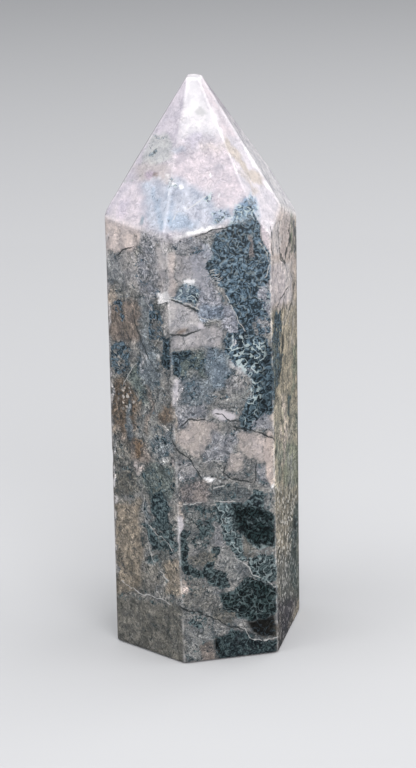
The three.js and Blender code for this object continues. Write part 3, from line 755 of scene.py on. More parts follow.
POINT_MARKS = {
    # The white at the tip, fading down under it, is partly the stone's milky colour and partly a painted
    # highlight.
    "white top": ({"pale": 1, "busy": -0.8}, 9,
        area((187, 66), (200, 66), (206, 99), (215.5, 117), (224, 137), (215, 130), (206, 121), (196, 120),
        (183, 114))),
    "pale under the white top": ({"pale": 0.8, "busy": -0.4}, 7,
        area((183, 110), (213, 110), (226, 137), (206, 139), (181, 138))),
    "left facet": ({"dove": 1, "busy": 0.3}, 2,
        area((184, 76), (187, 82), (180, 130), (173, 165), (166, 214), (163, 234), (100, 226), (100, 190))),
    "grey patch": ({"sage": 0.55}, 2, oval(203, 115.5, 6, 5)),
    "lavender swirl": ({"pale": 0.35, "lavender": 0.35}, 2, oval(196, 140, 9, 6)),
    "blue spot": ({"veil": 0.6}, 2, oval(181, 150, 6, 3.5)),
    "apricot streaks": ({"pale": 0.3, "apricot": 0.4}, 3,
        area((203, 146), (230, 144), (228, 156), (206, 158))),
    "pink middle": ({"pink": 0.7}, 5, area((172, 154), (232, 150), (242, 186), (170, 186))),
    "grey fleck": ({"ash": 0.7}, 2, oval(218, 170, 5, 4)),
    "lilac right": ({"pink": 0.8}, 4, area((214, 182), (240, 180), (247, 206), (232, 206), (216, 200))),
    "front veil": ({"veil": 0.8, "busy": 0.35}, 5,
        area((164, 184), (176, 180), (192, 186), (214, 194), (215, 222), (192, 230), (162, 226))),
    "dark curls in the veil": ({"moss": 0.42, "lace": 0.8}, 3,
        area((168, 180), (176, 178), (178, 188), (170, 192))),
    "curls in the middle": ({"moss": 0.45, "lace": 0.8}, 2.5,
        area((202, 196), (214, 190), (217, 200), (208, 206))),
    "cyan low in the veil": ({"cyan": 0.3, "moss": 0.25}, 3,
        area((166, 212), (186, 214), (200, 218), (190, 226), (168, 228))),
    "white in the veil": ({"pale": 0.15}, 3,
        area((176, 196), (186, 190), (194, 200), (186, 212), (176, 210))),
    "cyan in the veil": ({"cyan": 0.15, "moss": 0.22}, 3,
        area((163, 196), (172, 188), (176, 206), (172, 226), (162, 222))),
    "pink in the veil": ({"pink": 0.15}, 3,
        area((184, 200), (200, 206), (212, 210), (206, 224), (190, 220))),
    # The white band along the lower edge of the point is a painted glint of the rounded edge.
    "painted glint along the point's lower edge": ({"white": 0.9}, 1.5,
        area((188, 229.5), (200, 226), (217, 224), (216, 229), (200, 231.5), (190, 234))),
    "cyan tuft": ({"cyan": 0.5, "moss": 0.55}, 3, area((211, 211), (229, 208), (231, 221), (214, 222))),
    "brow tuft": ({"cyan": 0.8, "moss": 0.6}, 2.5,
        area((230, 226), (236, 207), (243, 201), (249, 192), (253, 196), (257, 205), (260, 224),
        (244, 230))),
    "moss over the shoulder": ({"steel": 1, "moss": 0.95}, 1.5,
        area((229, 232), (231, 223), (240, 217), (250, 214), (258, 214), (262, 230))),
    "where the moss crosses the shoulder": ({"buffed_no_glint": 1}, 3,
        area((222, 212), (262, 202), (264, 226), (224, 236))),
    "low on the left edge": ({"buffed_no_glint": 0.9}, 6, streak(10, (185, 108), (180, 150), (175, 182))),
    "point lace": ({"lace": 0.6}, 4, area((205, 205), (249, 190), (262, 206), (260, 230), (208, 234))),
    "first white speck": ({"white": 0.8}, 0.8, oval(170, 178.7, 1, 1.3)),
    "second white speck": ({"white": 0.7}, 0.8, oval(174, 185.5, 1.6, 0.9, 30)),
    "third white speck": ({"white": 0.7}, 0.8, oval(170, 193.5, 0.9, 1.6)),
    "fourth white speck": ({"white": 0.9}, 0.8, oval(208.8, 176.5, 1.4, 1.4)),
    "fifth white speck": ({"white": 0.7}, 0.8, oval(222, 194, 1.2, 1.2)),
    "sixth white speck": ({"white": 0.7}, 0.8, oval(181, 187, 1.2, 1.8)),
    "sage patch": ({"sage": 0.85}, 3,
        area((144, 150), (150, 135), (166, 136), (176, 146), (174, 160), (156, 166), (142, 164))),
    "sage dots": ({"sage": 1, "moss": 0.6}, 1.5, oval(151.5, 155, 2.4, 6, 10)),
    "sage speckles": ({"moss": 0.3}, 3,
        area((146, 146), (152, 135), (164, 138), (158, 152), (156, 162), (146, 164))),
    "upper sage dots": ({"moss": 0.5}, 1.5, oval(160, 139, 9, 1.6, 15)),
    "warm left": ({"oat": 0.5}, 5, area((132, 162), (170, 166), (172, 184), (138, 182))),
    "mauve round the rust": ({"mauve": 0.55}, 3, oval(154, 177, 6, 4)),
    "rust mark": ({"rust": 0.7}, 1, oval(158, 178, 3, 4, -30)),
    "left veil": ({"veil": 0.8, "busy": 0.3}, 5,
        area((148, 190), (162, 181), (167, 200), (165, 230), (150, 226), (146, 206))),
    "cyan threads in the left veil": ({"cyan": 0.3, "moss": 0.3}, 2,
        streak(4, (156, 192), (160, 206), (162, 224))),
    "upper part of the left veil": ({"veil": 0.8, "busy": 0.3}, 4,
        area((143, 185), (156, 183), (152, 194), (144, 196))),
    "lavender patch": ({"lavender": 0.85, "dove": 0.3}, 2, oval(123, 209, 4.5, 10, 15)),
    "pink left": ({"pink": 0.5, "busy": 0.15}, 4,
        area((112, 208), (132, 186), (142, 190), (140, 222), (108, 220))),
    "cyan left": ({"steel": 1}, 1.5, oval(143, 218, 2.5, 4)),
    "tan on the right facet": ({"oat": 0.9}, 1.5,
        area((225, 138), (232, 141), (241, 156), (246, 164), (243, 169), (236, 163), (229, 152))),
    "tan leaf on the right facet": ({"oat": 0.9}, 1.2,
        area((240, 163), (246, 162), (262, 176), (264, 187), (256, 184), (244, 172))),
    "lower tan on the right facet": ({"oat": 0.7}, 1.5,
        area((241, 171), (248, 176), (257, 192), (251, 192))),
    "rose on the right facet": ({"rose shell": 0.9}, 3, area((201, 82), (206, 84), (236, 136), (226, 140))),
    "grey outer facet": ({"pale": 0.85, "busy": 0.5, "drawn": 0.15}, 2,
        area((226, 108), (260, 150), (298, 208), (298, 222), (282, 208), (251, 158))),
    "first outer streak": ({"ash": 0.7}, 0.8, streak(1.2, (241, 139), (251, 156))),
    "second outer streak": ({"ash": 0.8}, 0.8, streak(1.4, (264, 175), (275, 192))),
    "third outer streak": ({"ash": 0.8}, 0.8, streak(1.6, (284, 196), (292, 216))),
    "grey line on the left": ({"sage": 1}, 0.8, streak(1.8, (123, 184), (133, 182))),
}

# Fine lines in the same pixels, each by its corners: dark cracks, and threads of white chalcedony that have
# healed others. The dark line under the flake is painted shade below its ledge.
CRACKS = {
    "first outline on the right": [(288, 287), (282.5, 296), (277, 306), (274.5, 314), (273, 327)],
    "second outline on the right": [(294.6, 277), (293, 295), (290.5, 306), (285, 322), (282.5, 334),
        (282, 349)],
    "third outline on the right": [(280, 253), (280.5, 260), (284, 263.5), (287, 255), (288, 247),
        (289, 236)],
    "fourth outline on the right": [(290, 259), (291, 252), (293, 245)],
    "fifth outline on the right": [(270, 226), (272, 232), (270.5, 243), (273, 255)],
    "under the brow": [(196, 235.5), (209, 232), (220, 229.5), (230, 227.5)],
    "arc": [(119, 255), (124, 249), (132, 247.5)],
    # Painted shade under the flake's ledge.
    "under the flake": [(156, 304), (167, 303)],
    "left slant": [(134, 318), (137, 330), (145, 349), (150, 362)],
    "under the trapezoid": [(173, 300), (187, 306), (197, 310)],
    "under the cream": [(172, 334.5), (184, 335.5), (197, 332)],
    "dots over the peach": [(181, 426), (190, 420.5), (203, 419)],
    "eye": [(217, 414), (222, 414), (226, 418.5), (230, 421), (238, 421)],
    "long crack": [(173, 441), (175.5, 447), (181, 452), (190, 460), (197, 471), (201, 479)],
    "over the second peach": [(234, 427), (249, 430), (262, 433), (273, 438)],
    "u": [(226, 463), (223.6, 474), (229, 478), (242, 480), (250, 482)],
    "upright": [(257, 463), (255.7, 474), (254, 482)],
    "low": [(181, 607), (189, 611), (197, 612.5), (209, 616.5), (221, 623), (229, 627), (242, 628.5)],
    "leaf": [(289, 222), (289.5, 242), (284, 264), (279.5, 250), (278, 230)],
    "right upright": [(283, 330), (282, 352), (279, 380)],
}
THREADS = {
    "white line": [(226.6, 295), (229.5, 304), (238, 319), (245, 331)],
    "cross line": [(200, 318), (208, 321), (215, 319.5)],
    "over the trapezoid's crack": [(171, 298), (187, 303.5), (198, 308)],
    "rose streak": [(205, 463.5), (214, 460.5), (224, 460)],
    "dotted": [(210, 488), (225, 486.5), (241, 487.5)],
    "thin rose": [(181, 504.6), (209, 501), (240, 502.5)],
    "slant": [(236, 559), (250, 568), (254, 575), (264, 579), (274.5, 587), (279, 580)],
    "round the block": [(238, 626), (245, 629), (249, 636), (256, 640), (266, 640), (277, 637)],
    "left fall": [(144, 499), (143.8, 508), (144.6, 522), (152.5, 528.7), (159.3, 534.5), (167, 541.5),
        (172, 550)],
    "left run": [(149, 547), (152, 555), (156, 566), (161, 572), (168, 581)],
    "left low": [(122, 581), (133, 589), (139, 594), (151, 596), (162, 599), (171, 605)],
    "scratch": [(137, 362), (129, 374), (122, 387)],
    "curve on the point": [(173, 219), (177, 212), (189, 207.5), (199, 202.5), (204, 197.5), (209, 194)],
    "first rung": [(211, 271.5), (215, 270)],
    "second rung": [(213.5, 275.5), (217.5, 274)],
    "third rung": [(216, 279), (220, 277.5)],
    "fourth rung": [(218.5, 282.5), (222.5, 281)],
    "curve in the brow": [(260, 243), (267, 252), (269, 266), (266, 277), (259, 284)],
}

# Smooth noise lets the outlines of the marks stray: each wave's size in millimetres, and how far it may
# move a place. The marks of one side give way to the next side's the faster, the higher EDGE_BLEND is.
STRAY, FRONT_SEED = {5.0: 1.2, 1.7: 1.1, 0.7: 0.6}, 10
RIM_PX = 1.6
EDGE_BLEND = 4.0
POINT_BUSY = 0.3


def strayed(points, waves, seed):
    """Points moved by smooth noise, which has a wave of each size with this much play along every axis."""
    moved = points.copy()
    for number, (size, play) in enumerate(waves.items()):
        for axis in range(3):
            moved[:, axis] += play * (cloud(points, size, seed + 3 * number + axis) - 0.5)
    return moved


def share_of(points, planes):
    """How much points belong to these planes and not to the stone's others: the sum of exp(k * distance past
    a plane) over these planes, divided by the same sum over all."""
    mine, whole = (
        np.exp(EDGE_BLEND * (points @ group[:, :3].T - group[:, 3])).sum(axis=1) for group in (planes, facets)
    )
    return mine / whole


def lay(paints, cover, ground, growth):
    """Lays colours over the ground, each mixed in by its strength times its cover, and raises growths to
    their strength where they are lower. A growth of less than nothing thins what is there, and so does a
    clean colour."""
    for paint, strength in paints.items():
        share = cover * strength
        if paint in COLOURS:
            ground += (linear(COLOURS[paint]) - ground) * share[:, None]
            for name in growth if paint in CLEAN else ():
                growth[name] = growth[name] * (1 - share)
        elif strength > 0:
            growth[paint] = np.maximum(growth[paint], share)
        else:
            growth[paint] = growth[paint] * (1 + share)


def blank(points):
    """A bare ground and no growths."""
    return np.zeros((len(points), 3)), {name: np.zeros(len(points)) for name in GROWTHS}


def sides_in_view(points):
    """The colours and growths of the sides that the photograph shows, from the marks. Each group of marks is
    laid on a base, in order, and belongs to its own planes. A mark's rim is exp(-distance / RIM_PX) times how
    busy the base is, and later marks cover it."""
    across, down = photo_place(strayed(points, STRAY, FRONT_SEED))
    ground, growth = blank(points)
    groups = [
        (side["frontLeft"][None], {"taupe": 1, "busy": 1, "moss": 0.2, "drawn": 0.6}, LEFT_MARKS),
        (side["front"][None], {"taupe": 1, "busy": 1, "moss": 0.22}, FRONT_MARKS),
        (side["right"][None], {"sand": 1, "busy": 0.8, "moss": 0.1, "drawn": 1}, RIGHT_MARKS),
        (above_shoulder, {"shell": 1, "busy": POINT_BUSY}, POINT_MARKS),
    ]
    for planes, base, marks in groups:
        own = share_of(points, planes)
        bits, parts = blank(points)
        lay(base, np.ones(len(points)), bits, parts)
        for paints, fade, shape in marks.values():
            away = shape(across, down)
            cover = 1 - smoothstep(-fade, fade, away)
            lay(paints, cover, bits, parts)
            rim = np.exp(-np.abs(away) / RIM_PX) * base["busy"]
            parts["rim"] = np.maximum(parts["rim"] * (1 - cover), rim)
        ground += bits * own[:, None]
        for name in GROWTHS:
            growth[name] += parts[name] * own
    return ground, growth


# The sides out of view carry on the same stone: broken bits of chalcedony of every tint, some of them grown
# full of moss.
SHAFT_BITS = [
    {"peach": 1},
    {"tan": 1},
    {"lilac grey": 1},
    {"warm grey": 1},
    {"taupe": 1},
    {"taupe": 1, "moss": 0.45},
    {"brown": 1},
    {"red brown": 1, "flecks": 0.6},
    {"slate": 1, "moss": 0.6},
    {"steel": 1, "moss": 1, "lace": 0.8},
    {"green grey": 1, "moss": 0.9, "depth": 0.8},
]
POINT_BITS = [
    {"shell": 1},
    {"pink": 1},
    {"dove": 1},
    {"apricot": 1},
    {"oat": 1},
    {"pale": 1},
    {"veil": 1, "moss": 0.25},
    {"sage": 1, "moss": 0.4, "lace": 0.5},
]
BITS, BIT_SEED = 170, 5
BIT_LOW, BIT_HIGH = [-22, -22, -5], [22, 22, 121]
BIT_STRAY, BACK_SEED = {9.0: 9.0, 2.4: 3.4, 0.8: 1.2}, 40
BIT_FADE = 0.9
RIM_MM = 0.32


def sides_out_of_view(points):
    """The colours and growths of the sides behind. Each point takes those of the nearest of many scattered
    centres, measured after smooth noise has moved it, and shares them with the next nearest where the two
    distances come close."""
    draw = np.random.default_rng(BIT_SEED)
    centres = draw.uniform(BIT_LOW, BIT_HIGH, (BITS, 3))
    moved = strayed(points, BIT_STRAY, BACK_SEED)
    distances = np.linalg.norm(moved[:, None] - centres, axis=2)
    order = np.argpartition(distances, 1, axis=1)[:, :2]
    first, second = np.take_along_axis(distances, order, axis=1).T
    part = 0.5 + 0.5 * np.sign(second - first) * smoothstep(0, BIT_FADE, np.abs(second - first))
    top = share_of(points, above_shoulder)
    ground, growth = blank(points)
    for bits, own, busy in ((SHAFT_BITS, 1 - top, 1), (POINT_BITS, top, POINT_BUSY)):
        growth["busy"] += busy * own
        growth["rim"] += busy * own * np.exp(-np.abs(second - first) / 2 / RIM_MM)
        kinds = draw.integers(len(bits), size=BITS)
        tints, amounts = blank(centres)
        for number, paints in enumerate(bits):
            lay(paints, (kinds == number).astype(float), tints, amounts)
        for column, share in ((0, part), (1, 1 - part)):
            ground += tints[order[:, column]] * (own * share)[:, None]
            for name in GROWTHS:
                growth[name] += amounts[name][order[:, column]] * own * share
    return ground, growth


# The lines keep their places on the sides in view. On the sides behind they run where a few random planes
# come out of the stone. Nearness is 1 up to LINE_HOLD millimetres from a line and 0 from LINE_LOSE on.
LINE_STRAY = {1.7: 0.5, 0.7: 0.4}
PX_MM = 0.2
LEAST_SQUEEZE = 0.5
LINES_BEHIND, LINE_SEEDS = 16, {"crack": 71, "thread": 72}
LINE_WAVES = [(4.0, 3.0, 0), (1.1, 1.2, 9)]
LINE_LOW, LINE_HIGH = [-14, -14, 5], [14, 14, 105]
KEPT_SIZE, KEPT_STEP, KEPT_SHIFT = 8.0, (0.5, 0.62), 4
LINE_HOLD, LINE_LOSE, FARTHEST_MM = 0.35, 0.8, 5
SEEN_FADE = 0.06
EDGE_PALE_MM = 0.32


def lines_in_view(lines, points, squeeze):
    """The signed distance in millimetres to the nearest of the lines, as they show in the photograph. Squeeze
    is how squarely each point faces the camera, so that a line isn't widened on a side seen askew."""
    across, down = photo_place(strayed(points, LINE_STRAY, FRONT_SEED))
    nearest = np.full(len(points), np.inf)
    for corners in lines.values():
        away, hand = to_segments(corners, across, down, squeeze)
        nearest = np.where(away < np.abs(nearest), away * hand, nearest)
    return nearest * PX_MM


def lines_behind(seed, points):
    """The signed distance to the nearest of a few random planes through the stone, waved by smooth noise,
    and where they are kept: only where slow noise is high. Each of LINE_WAVES has its size, how far it moves
    a plane, and what it adds to the seed."""
    draw = np.random.default_rng(seed)
    nearest = np.full(len(points), np.inf)
    wave = sum(play * (cloud(points, size, seed + shift) - 0.5) for size, play, shift in LINE_WAVES)
    for _ in range(LINES_BEHIND):
        normal = draw.normal(size=3)
        place = draw.uniform(LINE_LOW, LINE_HIGH)
        away = (points - place) @ (normal / np.linalg.norm(normal)) + wave
        nearest = np.where(np.abs(away) < np.abs(nearest), away, nearest)
    return nearest, smoothstep(*KEPT_STEP, cloud(points, KEPT_SIZE, seed + KEPT_SHIFT))


# A point of the skin is in view where its normal turns to the camera. The mesh carries the ground and growths
# as layers, and also the distance to the nearest line and its nearness, and how close a ground edge is.
vertex_normals = np.empty(len(skin) * 3)
mesh.vertex_normals.foreach_get("vector", vertex_normals)
to_camera = CAMERA_PLACE - skin
facing = (vertex_normals.reshape(-1, 3) * to_camera).sum(axis=1) / np.linalg.norm(to_camera, axis=1)
seen = smoothstep(-SEEN_FADE, SEEN_FADE, facing)

front_ground, front_growth = sides_in_view(skin)
back_ground, back_growth = sides_out_of_view(skin)
ground = back_ground + (front_ground - back_ground) * seen[:, None]
tint = mesh.attributes.new("ground", "FLOAT_COLOR", "POINT")
tint.data.foreach_set("color", np.column_stack([ground, np.ones(len(skin))]).ravel())
layers = {name: back_growth[name] + (front_growth[name] - back_growth[name]) * seen for name in GROWTHS}
for name, lines in (("crack", CRACKS), ("thread", THREADS)):
    front_side = lines_in_view(lines, skin, np.clip(facing, LEAST_SQUEEZE, 1))
    back_side, kept = lines_behind(LINE_SEEDS[name], skin)
    in_view = seen > 0.5
    nearest = np.where(in_view, front_side, back_side)
    layers[name + "_side"] = np.clip(nearest, -FARTHEST_MM, FARTHEST_MM)
    near = 1 - smoothstep(LINE_HOLD, LINE_LOSE, np.abs(layers[name + "_side"]))
    layers[name + "_near"] = near * np.where(in_view, 1, kept)
# How near each point is to an edge between facets, where the pale bruises and the painted edge highlight go.
past = np.sort(skin @ facets[:, :3].T - facets[:, 3], axis=1)
layers["edge"] = np.exp((past[:, -2] - past[:, -1]) / EDGE_PALE_MM)
for name, values in layers.items():
    carried = mesh.attributes.new(name, "FLOAT", "POINT")
    carried.data.foreach_set("value", values)

# The finish of the stone. The colours and growths that the mesh carries are grown out here in full fineness:
# the ground is clouded, grained and lined, and the moss breaks up into curled threads. Every pattern is a
# noise in the stone's own millimetres, given as the size of its largest lumps, its detail and its roughness.
agate = bpy.data.materials.new("moss_agate")
agate.use_nodes = True
tree = agate.node_tree
shader = tree.nodes["Principled BSDF"]
CURL_DETAIL, CURL_ROUGHNESS = 1.5, 0.45


def add(kind, inputs, output=0, **settings):
    """Adds a node with its settings, and gives each of its inputs a value or joins it to another node."""
    made = tree.nodes.new(kind)
    for name, value in settings.items():
        setattr(made, name, value)
    for name, value in inputs.items():
        if isinstance(value, bpy.types.NodeSocket):
            tree.links.new(value, made.inputs[name])
        else:
            made.inputs[name].default_value = value
    return made.outputs[output]


def layer(name, output="Fac"):
    """One of the layers that the mesh carries."""
    return add("ShaderNodeAttribute", {}, output, attribute_name=name)


def maths(operation, first, second=0.0, third=0.0):
    """Numbers put together."""
    return add("ShaderNodeMath", {0: first, 1: second, 2: third}, operation=operation)


def times(*factors):
    """Numbers multiplied together, from the first to the last."""
    product = factors[0]
    for factor in factors[1:]:
        product = maths("MULTIPLY", product, factor)
    return product


def rest_of(share):
    """What a share leaves over: 1 - share."""
    return maths("SUBTRACT", 1.0, share)


def arrows(operation, first, second, third=(0, 0, 0)):
    """Vectors put together."""
    return add("ShaderNodeVectorMath", {0: first, 1: second, 2: third}, operation=operation)


def step(low, high, value):
    """0 below low and 1 above high, smooth between."""
    inputs = {"Value": value, "From Min": low, "From Max": high}
    return add("ShaderNodeMapRange", inputs, interpolation_type="SMOOTHSTEP")


def noise(place, size, detail, roughness, output="Fac"):
    """Noise whose largest lumps are about this many millimetres across."""
    inputs = {"Vector": place, "Scale": 1 / size, "Detail": detail, "Roughness": roughness}
    return add("ShaderNodeTexNoise", inputs, output)


def swayed(place, play, size, detail):
    """A place moved by noise in three colours, one for each axis, by up to half of the play either way."""
    shift = arrows("SUBTRACT", noise(millimetres, size, detail, 0.5, "Color"), (0.5, 0.5, 0.5))
    return arrows("MULTIPLY_ADD", shift, (play, play, play), place)


def curls(place, size, turns):
    """A wave from -1 to 1 that goes up and down several times while noise rises once, so that its crests are
    curled threads: sin(2 * pi * turns * noise)."""
    return maths("SINE", times(noise(place, size, CURL_DETAIL, CURL_ROUGHNESS), 2 * math.pi * turns))


def troughs(low, high, wave):
    """1 where a wave is low, as a step on the wave turned over."""
    return step(low, high, times(wave, -1.0))


def over(share, under, top, blend="MIX"):
    """A colour laid over another."""
    return add("ShaderNodeMix", {0: share, 6: under, 7: top}, 2, data_type="RGBA", blend_type=blend)


def toned(share, under, tone):
    """A colour multiplied by a tone, as far as the share says."""
    return over(share, under, over(1.0, under, tone, "MULTIPLY"))


object_place = add("ShaderNodeTexCoord", {}, "Object")
millimetres = arrows("MULTIPLY", object_place, (1 / MM, 1 / MM, 1 / MM))
BEND_PLAY, BEND = 1.3, (1.1, 2)
bent = swayed(millimetres, BEND_PLAY, *BEND)

# Clouded chalcedony: soft mottling, which shows first, and a fine grain where the ground is busy.
MOTTLE, MOTTLE_STEP = (2.1, 5, 0.62), (0.34, 0.66)
MOTTLE_DARK, MOTTLE_LIGHT = (0.66, 0.69, 0.73, 1), (1.3, 1.28, 1.25, 1)
GRAIN, GRAIN_STEP = (0.45, 3, 0.75), (0.32, 0.68)
GRAIN_DARK, GRAIN_LIGHT = (0.56, 0.58, 0.6, 1), (1.46, 1.44, 1.42, 1)
busy, drawn = layer("busy"), layer("drawn")
bare = layer("ground", "Color")
mottle = step(*MOTTLE_STEP, noise(bent, *MOTTLE))
grain = step(*GRAIN_STEP, noise(bent, *GRAIN))
clouded = toned(maths("SQRT", busy), bare, over(mottle, MOTTLE_DARK, MOTTLE_LIGHT))
clouded = toned(times(busy, busy), clouded, over(grain, GRAIN_DARK, GRAIN_LIGHT))

# On some sides the grain is drawn out upright into grooves of three sizes, and dark outlines wander between
# them. Each size of groove has its noise, where it begins and is full, and its share of the whole.
SWAY_PLAY, SWAY = 7, (6.0, 1)
UPRIGHT_SQUEEZE = 0.16
GROOVES = [
    ((1.0, 5, 0.75), (0.34, 0.66), 0.4),
    ((3.2, 3, 0.6), (0.4, 0.6), 0.28),
    ((0.45, 3, 0.75), (0.36, 0.64), 0.32),
]
GROOVE_DARK, GROOVE_LIGHT = (0.22, 0.26, 0.26, 1), (2.3, 2.22, 2.14, 1)
OUTLINE, OUTLINE_STEP = (2.6, 4), (0.82, 0.99)
OUTLINE_PLACES, OUTLINE_PLACES_STEP = (2.8, 3, 0.6), (0.42, 0.56)
OUTLINE_SHARE, OUTLINE_COLOUR = 0.9, (0.05, 0.055, 0.05, 1)
upright = arrows("MULTIPLY", swayed(bent, SWAY_PLAY, *SWAY), (1, 1, UPRIGHT_SQUEEZE))
groove = 0.0
for pattern, limits, share in GROOVES:
    groove = maths("MULTIPLY_ADD", step(*limits, noise(upright, *pattern)), share, groove)
clouded = toned(drawn, clouded, over(groove, GROOVE_DARK, GROOVE_LIGHT))
outlined = times(drawn, step(*OUTLINE_PLACES_STEP, noise(millimetres, *OUTLINE_PLACES)))
outlined = times(outlined, step(*OUTLINE_STEP, curls(upright, *OUTLINE)), OUTLINE_SHARE)
clouded = over(outlined, clouded, OUTLINE_COLOUR)

# Three kinds of fine curled lines run over the ground in places: hairs, a close weave and long swirls. Each
# has its curls, and the noise and step that say where it grows. Then come its light lines and its dark ones,
# with how they are laid on, a step, a strength and a colour or tone.
broken_up = noise(millimetres, 0.9, 3, 0.6)
GROUND_LINES = {
    "hair": ((1.9, 5), noise(millimetres, 3.4, 2, 0.5), (0.4, 0.58),
        (toned, (0.88, 0.99), 0.6, (1.9, 1.9, 1.9, 1)), (over, (0.7, 0.97), 0.7, (0.035, 0.05, 0.06, 1))),
    "weave": ((0.85, 3.5), broken_up, (0.4, 0.55),
        (toned, (0.72, 0.97), 0.55, (1.7, 1.72, 1.74, 1)), (toned, (0.72, 0.97), 0.7, (0.4, 0.42, 0.43, 1))),
    "swirl": ((2.6, 9), noise(millimetres, 1.7, 3, 0.6), (0.42, 0.6),
        (toned, (0.7, 0.98), 0.6, (1.7, 1.72, 1.74, 1)), (toned, (0.74, 0.98), 0.85, (0.36, 0.39, 0.4, 1))),
}
lined, waves = clouded, {}
for name, (pattern, places, limits, *kinds) in GROUND_LINES.items():
    waves[name] = curls(bent, *pattern)
    grows = times(busy, step(*limits, places))
    for wave, (laid, limits, strength, colour) in zip((waves[name], times(waves[name], -1.0)), kinds):
        lined = laid(times(grows, strength, step(*limits, wave)), lined, colour)

# Moss: tufts of teal threads with dark gaps between them. It thickens along the rims of the patches and in
# wandering veins, and past the edge of a tuft only its darkest threads carry on. It is greener low on the
# stone and bluer high up.
VEIN, VEIN_HALF = (5.0, 4, 0.6), 0.04
RIM_GAIN, VEIN_GAIN = 1.3, 1.1
RAGGED, RAGGED_SPAN, RAGGED_START = (1.1, 6, 0.72), 1.9, -0.45
TUFT_STEP = (-0.02, 0.16)
TEAL, TEAL_STEP = (2.6, 4, 0.65), (0.32, 0.68)
TEAL_DARK, TEAL_LIGHT = (0.036, 0.06, 0.078, 1), (0.1, 0.155, 0.192, 1)
HEIGHT_STEP, LOW_TINT, HIGH_TINT = (25, 75), (1.0, 0.97, 0.86, 1), (0.99, 1.05, 1.16, 1)
GROUND_SHARE, GROUND_TONE = 0.35, (0.45, 0.5, 0.52, 1)
HOLLOW = (0.007, 0.012, 0.016, 1)
moss, depth, lace = layer("moss"), layer("depth"), layer("lace")
vein = maths("ABSOLUTE", maths("SUBTRACT", noise(bent, *VEIN), 0.5))
veined = times(busy, rest_of(step(0.0, VEIN_HALF, vein)))
gathered = maths("MULTIPLY_ADD", layer("rim"), RIM_GAIN, maths("MULTIPLY_ADD", veined, VEIN_GAIN, 1.0))
ragged = maths("MULTIPLY_ADD", noise(bent, *RAGGED), RAGGED_SPAN, RAGGED_START)
reach = maths("SUBTRACT", times(moss, gathered), ragged)
tufts = step(*TUFT_STEP, reach)
height = add("ShaderNodeSeparateXYZ", {"Vector": millimetres}, "Z")
tint = over(step(*HEIGHT_STEP, height), LOW_TINT, HIGH_TINT)
teal = over(1.0, over(step(*TEAL_STEP, noise(bent, *TEAL)), TEAL_DARK, TEAL_LIGHT), tint, "MULTIPLY")
woven = over(GROUND_SHARE, teal, over(1.0, bare, GROUND_TONE, "MULTIPLY"))

# The threads of the moss, from below: fine ones, the pale crests of a wider weave, and long plumes.
WEAVE, PLUMES = (1.9, 6), (3.6, 9)
FINE_GAP_STEP, FINE_GAP_SHARE = (0.62, 0.97), 0.6
FINE_THREAD_STEP, FINE_THREAD_SHARE, FINE_THREAD = (0.74, 0.97), 0.45, (0.17, 0.24, 0.28, 1)
PALE_STEP, PALE_PLACES_STEP, PALE_SHARE, PALE_THREAD = (0.84, 0.98), (0.4, 0.56), 0.5, (0.3, 0.39, 0.44, 1)
PLUME_STEP, PLUME_SHARE, PLUME = (0.7, 0.98), 0.4, (0.2, 0.28, 0.33, 1)
PLUME_GAP_STEP, PLUME_GAP_SHARE = (0.6, 0.97), 0.6
GAP_SLOPE, GAP_START, GAP_FADE, GAP_SHARE = -0.6, 0.8, 0.25, 0.85
fine_weave, weave, plumes = waves["weave"], curls(bent, *WEAVE), curls(bent, *PLUMES)
pale_places = step(*PALE_PLACES_STEP, broken_up)
woven = over(times(troughs(*FINE_GAP_STEP, fine_weave), FINE_GAP_SHARE), woven, HOLLOW)
for share, thread in (
    (times(step(*FINE_THREAD_STEP, fine_weave), FINE_THREAD_SHARE), FINE_THREAD),
    (times(step(*PALE_STEP, weave), pale_places, PALE_SHARE), PALE_THREAD),
    (times(step(*PLUME_STEP, plumes), PLUME_SHARE), PLUME),
):
    woven = over(share, woven, over(1.0, thread, tint, "MULTIPLY"))
woven = over(times(troughs(*PLUME_GAP_STEP, plumes), PLUME_GAP_SHARE), woven, HOLLOW)
grown = over(tufts, lined, woven)
gap_level = maths("MULTIPLY_ADD", reach, GAP_SLOPE, GAP_START)
gaps = step(0.0, GAP_FADE, maths("SUBTRACT", times(weave, -1.0), gap_level))
grown = over(times(gaps, GAP_SHARE), grown, HOLLOW)

# Lace is pale knots of thread over and just past the moss. Depth is where the stone is clear and dark below.
LACE, LACE_STEP, LACE_REACH = (2.7, 6), (0.66, 0.95), (-0.45, -0.1)
LACE_SHARE, LACE_COLOUR = 0.85, (0.52, 0.6, 0.61, 1)
SUNK, SUNK_STEP, SUNK_TONE = (1.7, 4, 0.65), (0.25, 0.5), (0.14, 0.2, 0.2, 1)
knots = times(step(*LACE_STEP, curls(bent, *LACE)), step(*LACE_REACH, reach))
laced = over(times(knots, lace, LACE_SHARE), grown, LACE_COLOUR)
shaded = toned(times(depth, step(*SUNK_STEP, noise(bent, *SUNK))), laced, SUNK_TONE)

# Flecks glitter: in a grid of uneven upright cells, half of the cells hold a white fleck and half a dark one.
FLECK_STRETCH, FLECK_SCALE = (1, 1, 0.7), 1.5
FLECK_GROWTH, FLECK_LEAST, FLECK_EDGE = 0.8, -0.22, (0.14, 0.3)
DARK_FLECK_SHARE, DARK_FLECK, WHITE_FLECK = 0.8, (0.03, 0.035, 0.03, 1), (0.62, 0.6, 0.58, 1)
fleck_grid = {"Vector": arrows("MULTIPLY", bent, FLECK_STRETCH), "Scale": FLECK_SCALE}
fleck_size = maths("MULTIPLY_ADD", broken_up, FLECK_GROWTH, FLECK_LEAST)
fleck_away = maths("SUBTRACT", add("ShaderNodeTexVoronoi", fleck_grid, "Distance"), fleck_size)
fleck = times(rest_of(step(*FLECK_EDGE, fleck_away)), layer("flecks"))
picked = maths("GREATER_THAN", add("ShaderNodeTexVoronoi", fleck_grid, "Color"), 0.5)
flecked = over(times(fleck, rest_of(picked), DARK_FLECK_SHARE), shaded, DARK_FLECK)
flecked = over(times(fleck, picked), flecked, WHITE_FLECK, "ADD")
